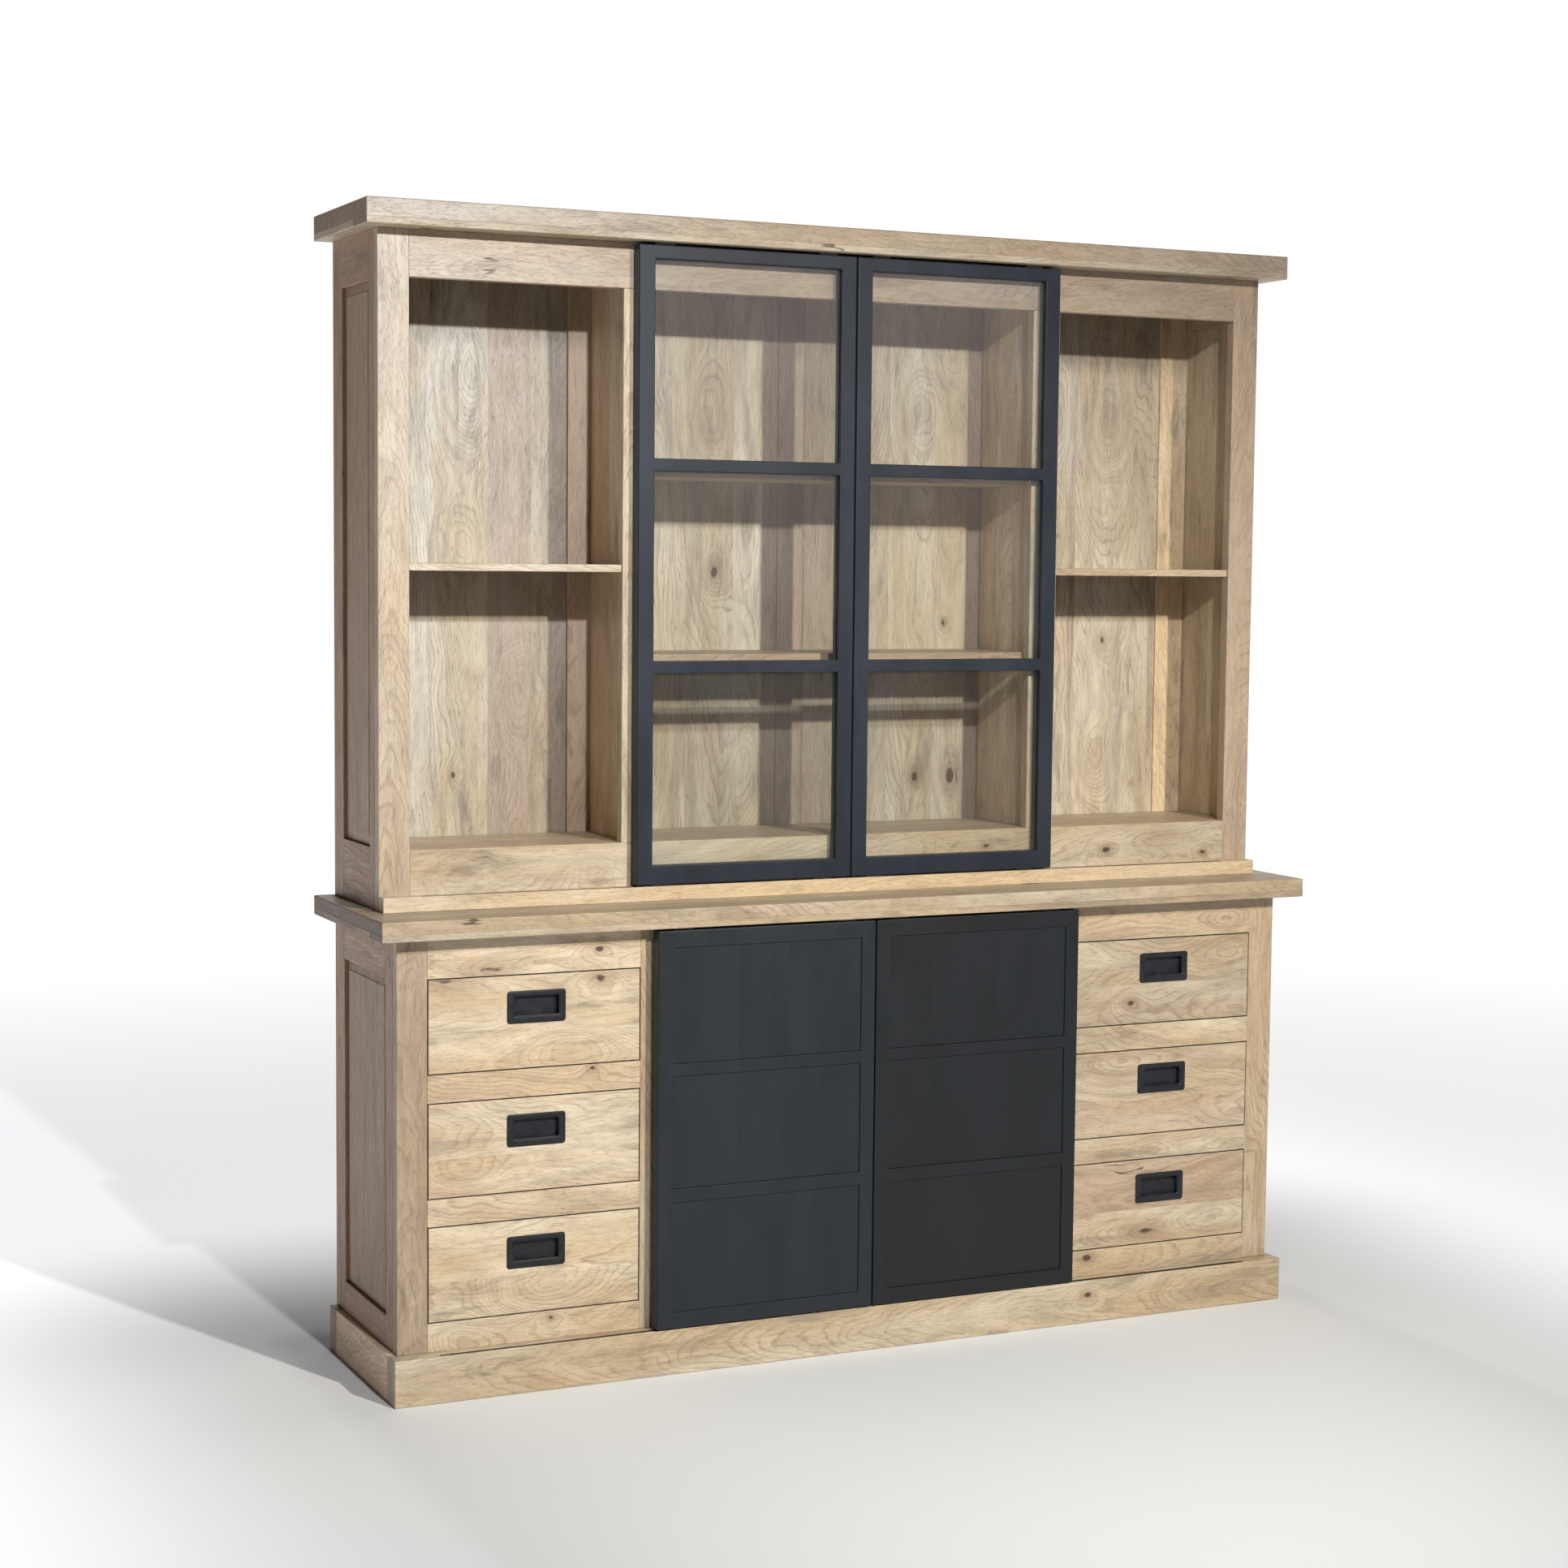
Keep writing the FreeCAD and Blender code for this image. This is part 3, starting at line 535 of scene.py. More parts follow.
def board(p, x, y, z, grain, r=1.2, fine=1, cuts=None, stave=None, wide=None,
          tone=1.0, warm=0.45, fig=0.6, lengthwise=0, jit=0.09, tints=None, knots=None, rz=None, edge=1.0,
          painted_shading=None, end_grain_and_shade=None, inside=None):
    """A rounded board. x, y, z are (low, high) in mm; grain is the axis of the
    fibres; cuts are the glue lines across the width axis. The list of places
    along the grain with a tone at each paints shade and light on the front face.
    The end grain gets its own tone and warmth, darkened as painted shade where a
    board end forms the side; the face towards the middle gets its own tone and
    warmth; edge darkens the faces along the width as painted shade in the gaps."""
    lo, hi = [x[0], y[0], z[0]], [x[1], y[1], z[1]]
    for i in range(3):
        if lo[i] > hi[i]:
            lo[i], hi[i] = hi[i], lo[i]
    size = [hi[i] - lo[i] for i in range(3)]
    r = min(r, min(size) * 0.32)
    rad = [[r, r], [r, r], list(rz) if rz else [r, r]]
    G = "xyz".index(grain)
    rest = [i for i in range(3) if i != G]
    W = "xyz".index(wide) if wide else max(rest, key=lambda i: size[i])
    D = [i for i in rest if i != W][0]
    rnd = seeded(p.node, p.count, "board")
    p.count += 1
    if cuts is None and stave:
        cuts, c = [], lo[W]
        while True:
            c += rnd.uniform(stave * 0.72, stave * 1.28)
            if c > hi[W] - stave * 0.45:
                break
            cuts.append(c)
    cuts = sorted(cuts or [])
    edges = [lo[W]] + cuts + [hi[W]]
    params = []
    for i in range(len(edges) - 1):
        q = stave_params(rnd, tone, warm, fig, jit)
        q["c"] = (edges[i] + edges[i + 1]) / 2
        if tints:
            q["tint"] = tints[i]
        q["kn"] = sorted((k for k in knots or [] if edges[i] <= k[0] < edges[i + 1]), key=lambda k: k[1])
        params.append(q)
    split = [(a[1] + b[1]) / 2 for q in params for a, b in zip(q["kn"], q["kn"][1:])]
    grid = []
    for i in range(3):
        extra = list(cuts) if i == W else list(split) if i == G else []
        if i == G and painted_shading:
            extra = sorted(set(extra + [k[0] for k in painted_shading]))
        if i == G and lengthwise:
            n = max(1, int(size[i] / lengthwise))
            extra += [lo[i] + size[i] * k / n for k in range(1, n)]
        grid.append(lines(lo[i], hi[i], rad[i], extra, fine))
    index, verts, vnor = {}, [], []

    def vert(key):
        if key in index:
            return index[key]
        pt = [grid[i][key[i]] for i in range(3)]
        q = [min(max(pt[i], lo[i] + rad[i][0]), hi[i] - rad[i][1]) for i in range(3)]
        rr = [rad[i][0] if pt[i] < q[i] else rad[i][1] for i in range(3)]
        d = Vector([(pt[i] - q[i]) / rr[i] for i in range(3)])
        d.normalize()
        pos = Vector([q[i] + d[i] * rr[i] for i in range(3)])
        index[key] = len(verts)
        verts.append(tuple(pos))
        vnor.append(tuple(d))
        return index[key]

    faces, axis = [], []
    n = [len(g) - 1 for g in grid]
    for ax in range(3):
        u, w = (ax + 1) % 3, (ax + 2) % 3
        for side in (0, n[ax]):
            for i in range(n[u]):
                for j in range(n[w]):
                    quad = []
                    for du, dw in ((0, 0), (1, 0), (1, 1), (0, 1)):
                        k = [0, 0, 0]
                        k[ax], k[u], k[w] = side, i + du, j + dw
                        quad.append(vert(tuple(k)))
                    if side == 0:
                        quad.reverse()
                    faces.append(tuple(quad))
                    axis.append(ax)
    nor, gco, loc, tint, kn = [], [], [], [], []
    for f, ax in zip(faces, axis):
        cw = sum(verts[i][W] for i in f) / 4.0
        cg = sum(verts[i][G] for i in f) / 4.0
        s = 0
        while s < len(cuts) and cw > cuts[s]:
            s += 1
        q = params[s]
        ox, oy, oz = q["off"]
        k = min(q["kn"], key=lambda k: abs(k[1] - cg)) if q["kn"] else None
        # edge darkens the faces along the width: painted shade in the gaps
        tn = q["tint"] if ax != W else (q["tint"][0] * edge,) + tuple(q["tint"][1:])
        if ax == G and end_grain_and_shade:
            tn = (tn[0] * end_grain_and_shade[0], end_grain_and_shade[1], tn[2])
        cd, md = sum(verts[i][D] for i in f) / 4.0, (lo[D] + hi[D]) / 2
        if ax == D and inside and abs(cd) < abs(md):
            tn = (tn[0] * inside[0], inside[1], tn[2])
        # the tone list paints shadow and light falloff onto the front face
        painted_shading_here = painted_shading if ax == D and cd < md else None
        for i in f:
            vx = verts[i]
            gu = (vx[G] - lo[G]) * MM * q["flip"]
            gv = (vx[W] - q["c"]) * MM
            gd = (vx[D] - (lo[D] + hi[D]) / 2) * MM
            kn.append(((vx[G] - k[1]) * MM, (vx[W] - k[0]) * MM, k[2] * MM) if k else (9.0, 9.0, 0.0001))
            nor.append(vnor[i])
            gco.append((gu + ox, gv + oy, gd + oz))
            loc.append((gu * q["k"], gv - q["a"], gd - q["b"]))
            tint.append((tn[0] * along(painted_shading_here, vx[G]),) + tuple(tn[1:]))
    p.add(verts, faces, nor, gco, loc, tint, kn)


def cells(p, xs, ys, zs, full, grain="z", tone=1.0, warm=0.4, fig=0.5, cuts=None, jit=0.07, knots=None, edge=1.0):
    """A solid made of grid cells: full(i, j, k) says which ones are filled."""
    n = (len(xs) - 1, len(ys) - 1, len(zs) - 1)
    G = "xyz".index(grain)
    rnd = seeded(p.node, p.count, "cells")
    p.count += 1
    rest = [i for i in range(3) if i != G]
    ext = [(xs[0], xs[-1]), (ys[0], ys[-1]), (zs[0], zs[-1])]
    W = max(rest, key=lambda i: ext[i][1] - ext[i][0])
    D = [i for i in rest if i != W][0]
    cuts = sorted(cuts or [])
    params = [stave_params(rnd, tone, warm, fig, jit) for _ in range(len(cuts) + 1)]
    edges = [ext[W][0]] + cuts + [ext[W][1]]
    for i, q in enumerate(params):
        q["c"] = (edges[i] + edges[i + 1]) / 2
        q["kn"] = None
        for k in knots or []:
            if edges[i] <= k[0] < edges[i + 1]:
                q["kn"] = k

    def has(i, j, k):
        return 0 <= i < n[0] and 0 <= j < n[1] and 0 <= k < n[2] and full(i, j, k)

    index, verts, faces = {}, [], []

    def vert(i, j, k):
        key = (i, j, k)
        if key not in index:
            index[key] = len(verts)
            verts.append((xs[i], ys[j], zs[k]))
        return index[key]

    for i in range(n[0]):
        for j in range(n[1]):
            for k in range(n[2]):
                if not has(i, j, k):
                    continue
                if not has(i - 1, j, k):
                    faces.append((vert(i, j, k), vert(i, j, k + 1), vert(i, j + 1, k + 1), vert(i, j + 1, k)))
                if not has(i + 1, j, k):
                    faces.append((vert(i + 1, j, k), vert(i + 1, j + 1, k), vert(i + 1, j + 1, k + 1), vert(i + 1, j, k + 1)))
                if not has(i, j - 1, k):
                    faces.append((vert(i, j, k), vert(i + 1, j, k), vert(i + 1, j, k + 1), vert(i, j, k + 1)))
                if not has(i, j + 1, k):
                    faces.append((vert(i, j + 1, k), vert(i, j + 1, k + 1), vert(i + 1, j + 1, k + 1), vert(i + 1, j + 1, k)))
                if not has(i, j, k - 1):
                    faces.append((vert(i, j, k), vert(i, j + 1, k), vert(i + 1, j + 1, k), vert(i + 1, j, k)))
                if not has(i, j, k + 1):
                    faces.append((vert(i, j, k + 1), vert(i + 1, j, k + 1), vert(i + 1, j + 1, k + 1), vert(i, j + 1, k + 1)))
    gco, loc, tint, nor, kn = [], [], [], [], []
    for f in faces:
        cw = sum(verts[i][W] for i in f) / 4.0
        s = 0
        while s < len(cuts) and cw > cuts[s]:
            s += 1
        q = params[s]
        ox, oy, oz = q["off"]
        for i in f:
            vx = verts[i]
            gu = (vx[G] - ext[G][0]) * MM * q["flip"]
            gv = (vx[W] - q["c"]) * MM
            gd = (vx[D] - (ext[D][0] + ext[D][1]) / 2) * MM
            gco.append((gu + ox, gv + oy, gd + oz))
            loc.append((gu * q["k"], gv - q["a"], gd - q["b"]))
            # edge darkens the faces off the front and back: painted shade in the gaps
            tint.append(q["tint"] if len({verts[v][D] for v in f}) == 1 else
                        (q["tint"][0] * edge,) + tuple(q["tint"][1:]))
            k = q["kn"]
            kn.append(((vx[G] - k[1]) * MM, (vx[W] - k[0]) * MM, k[2] * MM) if k else (9.0, 9.0, 0.0001))
            nor.append(None)
    p.add(verts, faces, nor, gco, loc, tint, kn)


def both(fn):
    for s in (-1, 1):
        fn(s)


def sx(s, a, b):
    """The span a..b on side s."""
    return (s * a, s * b) if s > 0 else (-b, -a)


# =====================================================================
# carcass boards (mm)
# =====================================================================
def make(node, slot, build, body="carcass", **kw):
    p = Piece(node, body, slot)
    build(p)
    return p.finish(**kw)


WOOD = "wood_body"


# ---- cornice
def f(p):
    # the end-grain tone also paints the shade of the sides
    board(p, (-1042.6, 1042.6), (-130, 235), (2265, 2300.5), "x", r=3.2, fine=2, stave=118, wide="y",
          tone=0.85, warm=0.6, jit=0.03, lengthwise=220, rz=(0.5, 3.2), end_grain_and_shade=(0.74, 1.3))


make("cornice_board", WOOD, f)


def f(p):
    # the end-grain tone also paints the shade of the sides
    board(p, (-1042.6, 1042.6), (-130, -44), (2251, 2265), "x", r=2.4, tone=0.87, warm=0.7, jit=0.0, lengthwise=220, rz=(2.4, 0.5), end_grain_and_shade=(0.74, 1.3))
    both(lambda s: board(p, sx(s, 976.6, 1042.6), (-44, 235), (2251, 2265), "y", r=2.4, tone=1.0, rz=(2.4, 0.5)))


make("cornice_lipping", WOOD, f)


# ---- upper carcass
def f(p):
    both(lambda s: board(p, sx(s, 942, 1005), (-74, -49), (940.5, 2251), "z", r=1.6, fine=2,
                         tone=0.94 if s < 0 else 0.94, jit=0.0, warm=0.42, fig=0.75))
    both(lambda s: board(p, sx(s, 435.8, 500.4), (-74, -49), (1057.7, 2160.2), "z", r=1.6, fine=2,
                         tone=1.0, jit=0.03, warm=0.45))


make("hutch_face_stiles", WOOD, f)


def f(p):
    # Painted light and shade on the rails: the lower rail is toned lighter in the middle, behind the glass, and both
    # rails darker towards the right, where the light falls off.
    board(p, (-942, 942), (-74, -49), (940.5, 1057.7), "x", r=1.4, fine=2, tone=1.08, warm=0.5, fig=0.8, jit=0.0,
          painted_shading=[(-900, 0.95), (-440, 0.96), (-300, 1.06), (300, 1.06), (500, 0.90), (900, 0.84)],
          knots=[(1003, 640, 7), (990, 890, 6), (1022, 339, 5), (1030, -850, -14), (1010, -560, -10)])
    board(p, (-942, 942), (-74, -49), (2160.2, 2251), "x", r=1.4, fine=2, tone=0.90, warm=0.45, fig=0.8, jit=0.0,
          painted_shading=[(-900, 1.0), (0, 1.0), (600, 0.88), (900, 0.86)])


make("hutch_face_rails", WOOD, f)


def side_frames(node, hx, y0, y1, z0, z1, py0, py1, pz0, pz1):
    def f(p):
        for s in (-1, 1):
            # the outer faces are toned darker and warmer as painted shade of the sides; the faces towards the middle
            # get a plain tone
            board(p, sx(s, hx - 19, hx), (y0, py0), (z0, z1), "z", r=1.4, fine=2, tints=[(0.84, 1.9, 0.7)], inside=(1.15, 0.5))
            board(p, sx(s, hx - 19, hx), (py1, y1), (z0, z1), "z", r=1.4, fine=2, tints=[(0.84, 1.9, 0.7)], inside=(1.15, 0.5))
            board(p, sx(s, hx - 19, hx), (py0, py1), (z0, pz0), "y", r=1.2, fine=2, tints=[(0.84, 1.9, 0.7)], wide="z", inside=(1.15, 0.5))
            board(p, sx(s, hx - 19, hx), (py0, py1), (pz1, z1), "y", r=1.2, fine=2, tints=[(0.84, 1.9, 0.7)], wide="z", inside=(1.15, 0.5))
    make(node, WOOD, f)


side_frames("hutch_side_frames", 1005, -49, 230, 940.5, 2251, -15.5, 165.6, 1061.2, 2155.6)


def side_panels(node, hx, y0, y1, z0, z1):
    """Raised and fielded panels with a bevelled margin and a small step."""
    def f(p):
        for s in (-1, 1):
            rnd = seeded(node, s, "cuts")
            g = 0.35
            ya, yb, za, zb = y0 + g, y1 - g, z0 + g, z1 - g
            m = 20.0
            cut = []
            c = ya
            while True:
                c += rnd.uniform(62, 104)
                if c > yb - 40:
                    break
                cut.append(c)
            step = [0.0, 1.2, m - 2.2, m - 0.9, m]
            drop = [0.9, 0.0, 0.0, 0.0, 0.0]
            ys = sorted([ya + t for t in step] + [yb - t for t in step] + cut)
            zs = sorted([za + t for t in step] + [zb - t for t in step])
            zs = sorted(set(zs + [za + m + (zb - za - 2 * m) * k / 4 for k in range(1, 4)]))
            ys = sorted(set(round(t, 3) for t in ys))

            def height(yy, zz):
                d = min(yy - ya, yb - yy, zz - za, zb - zz)
                if d <= 0.01:
                    return hx - 8.7
                if d < m - 2.1:
                    return hx - 8.0 + 2.5 * min(1.0, (d - 1.2) / (m - 3.4)) if d > 1.2 else hx - 8.0
                if d < m - 0.85:
                    return hx - 4.25
                return hx - 4.0
            ny, nz = len(ys), len(zs)
            verts, faces = [], []
            for j, yy in enumerate(ys):
                for k, zz in enumerate(zs):
                    verts.append((s * height(yy, zz), yy, zz))
            for j in range(ny - 1):
                for k in range(nz - 1):
                    q = (j * nz + k, (j + 1) * nz + k, (j + 1) * nz + k + 1, j * nz + k + 1)
                    faces.append(q if s > 0 else q[::-1])
            off = len(verts)
            for yy in ys:
                for zz in zs:
                    verts.append((s * (hx - 19.0), yy, zz))
            for j in range(ny - 1):
                for k in range(nz - 1):
                    q = (off + j * nz + k, off + j * nz + k + 1, off + (j + 1) * nz + k + 1, off + (j + 1) * nz + k)
                    faces.append(q if s > 0 else q[::-1])
            ring = [j * nz for j in range(ny)] + [(ny - 1) * nz + k for k in range(1, nz)] \
                + [j * nz + nz - 1 for j in range(ny - 2, -1, -1)] + [k for k in range(nz - 2, 0, -1)]
            for a, b in zip(ring, ring[1:] + ring[:1]):
                q = (a, off + a, off + b, b)
                faces.append(q if s > 0 else q[::-1])
            # the panels are toned darker and warmer as painted shade of the sides, the lower ones darker still; their
            # inner faces are set lighter with a plain warmth
            prm = [stave_params(rnd, 0.83 if z0 > 900 else 0.75, 0.8, 0.4, 0.04) for _ in range(len(cut) + 1)]
            for q in prm:
                q["tint"] = (q["tint"][0], 1.2 + 0.8 * q["tint"][1], q["tint"][2])
            ed = [ya] + cut + [yb]
            gco, loc, tint, nor = [], [], [], []
            for fc in faces:
                cy = sum(verts[i][1] for i in fc) / 4.0
                t = 0
                while t < len(cut) and cy > cut[t]:
                    t += 1
                q = prm[t]
                tn = q["tint"] if min(fc) < off else (q["tint"][0] * 1.16, 0.5, q["tint"][2])
                ox, oy, oz = q["off"]
                pts = [Vector(verts[i]) for i in fc]
                nn = (pts[1] - pts[0]).cross(pts[2] - pts[0]) + (pts[2] - pts[0]).cross(pts[3] - pts[0])
                nn = nn.normalized()
                for i in fc:
                    vx = verts[i]
                    gu = (vx[2] - za) * MM * q["flip"]
                    gv = (vx[1] - (ed[t] + ed[t + 1]) / 2) * MM
                    gd = (vx[0] - s * (hx - 10)) * MM
                    gco.append((gu + ox, gv + oy, gd + oz))
                    loc.append((gu * q["k"], gv - q["a"], gd - q["b"]))
                    tint.append(tn)
                    nor.append(tuple(nn))
            p.add(verts, faces, nor, gco, loc, tint)
    make(node, WOOD, f)


side_panels("hutch_side_panels", 1005, -15.5, 165.6, 1061.2, 2155.6)


def f(p):
    # the partitions are toned much lighter as painted light on their shaded faces
    both(lambda s: board(p, sx(s, 453, 473), (-49, 174), (1057.7, 2229), "z", r=0.8, stave=96,
                         tone=1.32, warm=0.6, jit=0.05))


make("hutch_partitions", WOOD, f)


def f(p):
    board(p, (-986, 986), (-49, 174), (1037.7, 1057.7), "x", r=0.8, stave=92, wide="y", tone=1.0, warm=0.45)


make("hutch_floor_board", WOOD, f)


def f(p):
    board(p, (-986, 986), (-49, 174), (2229, 2251), "x", r=0.8, stave=92, wide="y", tone=0.95, warm=0.45)


make("hutch_ceiling_board", WOOD, f)


# Painted shadows on the back boards: the tone drops where the display shelves, the niche shelves and the top rail cast
# their shadows, and rises a little in the lit bands between.
PAINTED_SHADOW_CENTRE = [(1060, 0.82), (1290, 0.86), (1335, 0.58), (1418, 0.48), (1437, 1.0), (1660, 1.06), (1789, 0.95),
               (1811, 0.96), (2060, 0.98), (2110, 0.86), (2240, 0.80)]
PAINTED_SHADOW_LEFT = [(1060, 1.0), (1500, 1.0), (1530, 0.85), (1600, 0.80), (1616, 1.0), (2045, 1.0), (2080, 0.74), (2240, 0.66)]
PAINTED_SHADOW_RIGHT = [(1060, 1.0), (1500, 1.0), (1530, 0.68), (1600, 0.62), (1616, 1.0), (2045, 1.0), (2080, 0.60), (2240, 0.52)]


def f(p):
    # the tone tables paint the shelf and rail shadows onto these boards
    z = (940.5, 2251)
    y = (180, 192)
    board(p, (-923.5, -524.4), y, z, "z", r=0.5, cuts=[-824, -696, -603, -556],
          tints=[(0.84, 0.15, 0.7), (0.87, 0.0, 1.0), (0.79, 0.95, 0.6), (0.72, 0.20, 0.6), (0.74, 0.8, 0.4)],
          knots=[(-900, 1300, -16), (-758, 1985, -22), (-770, 1182, 6.5), (-770, 1660, -14), (-640, 1355, -17),
                 (-650, 1990, -12)], painted_shading=PAINTED_SHADOW_LEFT)
    board(p, (-452.6, -43.6), y, z, "z", r=1.0, cuts=[-378, -255, -146, -78],
          tints=[(0.98, 0.6, 0.8), (1.14, 0.0, 0.8), (1.06, 0.35, 1.0), (1.15, 0.05, 0.7), (0.97, 0.9, 0.6)],
          knots=[(-189, 1600, 9), (-205, 1925, -20), (-320, 1210, -16), (-108, 1180, -17)], painted_shading=PAINTED_SHADOW_CENTRE)
    board(p, (-42.6, 452.6), y, z, "z", r=1.0, cuts=[22, 133, 226, 338, 420],
          tints=[(0.84, 0.9, 0.4), (1.06, 0.7, 0.5), (1.02, 0.5, 0.8), (1.20, 0.0, 1.0), (1.16, 0.15, 1.0), (0.98, 0.9, 0.5)],
          knots=[(298, 1153, 8), (386, 1154, 12), (364, 1493, 5), (285, 1950, -16), (175, 1250, -12)], painted_shading=PAINTED_SHADOW_CENTRE)
    board(p, (524.4, 923.5), y, z, "z", r=0.5, cuts=[610, 700, 850, 898],
          tints=[(0.92, 0.2, 0.9), (1.0, 0.0, 1.0), (1.06, 0.5, 0.8), (1.0, 0.05, 1.0), (1.0, 0.3, 0.5)],
          knots=[(776, 1452, 8), (790, 1930, -18), (740, 1180, -14), (650, 1750, -10)], painted_shading=PAINTED_SHADOW_RIGHT)


make("hutch_back_panels", "wood_back", f)


def f(p):
    z = (940.5, 2251)
    # the posts carry the same painted shadows
    both(lambda s: board(p, sx(s, 453, 523.4), (174, 198), z, "z", r=1.0, tone=1.08, warm=0.95, fig=0.4, jit=0.02, painted_shading=PAINTED_SHADOW_LEFT))
    both(lambda s: board(p, sx(s, 914.6, 986), (174, 198), z, "z", r=1.0, tints=[(1.46, 0.0, 0.4)], painted_shading=PAINTED_SHADOW_LEFT))


make("hutch_back_posts", WOOD, f)


def f(p):
    for s in (-1, 1):
        xs = sorted([s * v for v in (473.3, 500.7, 524.2, 913.8, 941.7, 985.7)])
        ys = [-69.4, -49.0, 173.7, 179.7]
        zs = [1600.0, 1615.0]

        def full(i, j, k):
            mid = abs((xs[i] + xs[i + 1]) / 2)
            if j == 0:
                return 500.7 < mid < 941.7
            if j == 1:
                return True
            return 524.2 < mid < 913.8
        cells(p, xs, ys, zs, full, grain="x", tone=0.98, warm=0.5, jit=0.03)


make("niche_shelves", WOOD, f, bevel=(1.2, 2))


def f(p):
    board(p, (-452.7, 452.7), (-45, 179.7), (1420, 1435), "x", r=1.4, stave=96, wide="y", tone=0.98, warm=0.6)
    board(p, (-452.7, 452.7), (-45, 179.7), (1791, 1809), "x", r=1.4, stave=96, wide="y", tone=0.98, warm=0.6)


make("display_shelves", WOOD, f)


def grooved_strip(p, x, ylines, zlines, hole, **kw):
    cells(p, [x[0], x[1]], ylines, zlines, hole, grain="x", **kw)


def f(p):
    ys, zs = [-105, -99, -87, -74], [940.5, 962, 970]
    cells(p, [-1005, -925, 925, 1005], ys, zs,
          lambda i, j, k: not (i == 1 and j == 1 and k == 1), grain="x", tone=1.2, warm=0.5, fig=0.7, jit=0.0)


make("hutch_base_strip", WOOD, f, bevel=(1.3, 2))


# ---- lower top
def f(p):
    # the ends are toned dark and warm: end grain plus painted shade of the sides
    board(p, (-1047.5, 1047.5), (-235, 235), (914.5, 940.5), "x", r=2.6, fine=2, stave=112, wide="y",
          tone=0.85, warm=0.45, jit=0.03, lengthwise=220, rz=(0.5, 2.6), end_grain_and_shade=(0.40, 2.0))


make("buffet_top_board", WOOD, f)


def f(p):
    # the ends and the side lipping are toned dark and warm as painted shade of the sides
    board(p, (-1047.5, 1047.5), (-235, -160), (901, 914.5), "x", r=2.4, tone=0.85, warm=0.45, jit=0.0, lengthwise=220, rz=(2.4, 0.5), end_grain_and_shade=(0.40, 2.0))
    both(lambda s: board(p, sx(s, 985, 1047.5), (-160, 235), (901, 914.5), "y", r=2.4, tints=[(0.58, 1.7, 0.5)], rz=(2.4, 0.5)))


make("buffet_top_lipping", WOOD, f)


# ---- lower carcass
RAIL_KNOTS = {(-1, 92): [(112, -870, -12), (135, -690, 5)], (-1, 579): [(626, -604, 5)], (-1, 820.5): [(862, -590, 6)],
              (1, 92): [(132, 540, 8)], (1, 337.5): [(365, 700, -9)], (1, 820.5): [(850, 880, -12)]}


def f(p):
    both(lambda s: board(p, sx(s, 942.5, 1004), (-185, -160), (92, 901), "z", r=1.8, fine=2,
                         tone=0.83 if s < 0 else 0.98, jit=0.0, warm=0.9 if s < 0 else 0.6, fig=0.7))
    # edge darkens the side faces as painted shade in the gaps
    both(lambda s: board(p, sx(s, 436, 502), (-185, -160), (92, 901), "z", r=0.9, fine=2, tone=0.92, jit=0.02, warm=0.45, edge=0.45))


make("buffet_face_stiles", WOOD, f)


def f(p):
    for z0, z1 in ((92, 148.5), (337.5, 391), (579, 634), (820.5, 901)):
        # edge darkens the top and bottom faces as painted shade in the gaps
        both(lambda s: board(p, sx(s, 502, 942.5), (-185, -160), (z0, z1), "x", r=0.9, fine=2, edge=0.35,
                             tone=1.15 if s < 0 else 1.02, jit=0.03, warm=0.5, fig=0.85, knots=RAIL_KNOTS.get((s, z0))))
    board(p, (-436, 436), (-185, -160), (92, 150), "x", r=1.2, tone=0.95)
    board(p, (-436, 436), (-185, -160), (836, 901), "x", r=1.2, tone=0.95)


make("buffet_face_rails", WOOD, f)
side_frames("buffet_side_frames", 1004, -160, 230, 92, 901, -114, 165, 154.8, 817.1)
side_panels("buffet_side_panels", 1004, -114, 165, 154.8, 817.1)


def f(p):
    both(lambda s: board(p, sx(s, 460, 480), (-160, 207), (150, 914.5), "z", r=0.8, stave=105, tone=0.95))


make("buffet_partitions", WOOD, f)


def f(p):
    board(p, (-985, 985), (-160, 207), (130, 150), "x", r=0.8, stave=100, wide="y", tone=0.92)


make("buffet_floor_board", WOOD, f)


def f(p):
    board(p, (-985, 985), (207, 219), (92, 914.5), "z", r=0.8, stave=120, wide="x", tone=0.85)


make("buffet_back_panel", "wood_back", f)


def f(p):
    board(p, (-459.7, 459.7), (-150, 206.7), (500, 518), "x", r=1.2, stave=100, wide="y", tone=0.95)


make("buffet_shelf", WOOD, f)


# ---- plinth
def f(p):
    cells(p, [-1019, -925, 925, 1019], [-220, -216, -204, -170], [0, 84, 92],
          lambda i, j, k: not (i == 1 and j == 1 and k == 1), grain="x", tone=0.96, warm=0.5, fig=0.9, jit=0.0,
          knots=[(60, 523, 7)])
    cells(p, [-1019, 1019], [183, 227], [0, 92], lambda i, j, k: True, grain="x", tone=0.9)
    for s in (-1, 1):
        # the plinth's sides are toned much lighter as painted light
        cells(p, sorted([s * 975, s * 1019]), [-170, 183], [0, 92], lambda i, j, k: True, grain="y", tone=1.75, warm=0.9)


make("plinth_frame", WOOD, f, bevel=(2.4, 3))

# ---- drawers
DR_Z = [(636.0, 818.5), (393.0, 577.0), (150.5, 335.5)]
PULL_Z = [756.0, 513.5, 272.0]
ROWS = ["top", "middle", "bottom"]
PX = 721.0


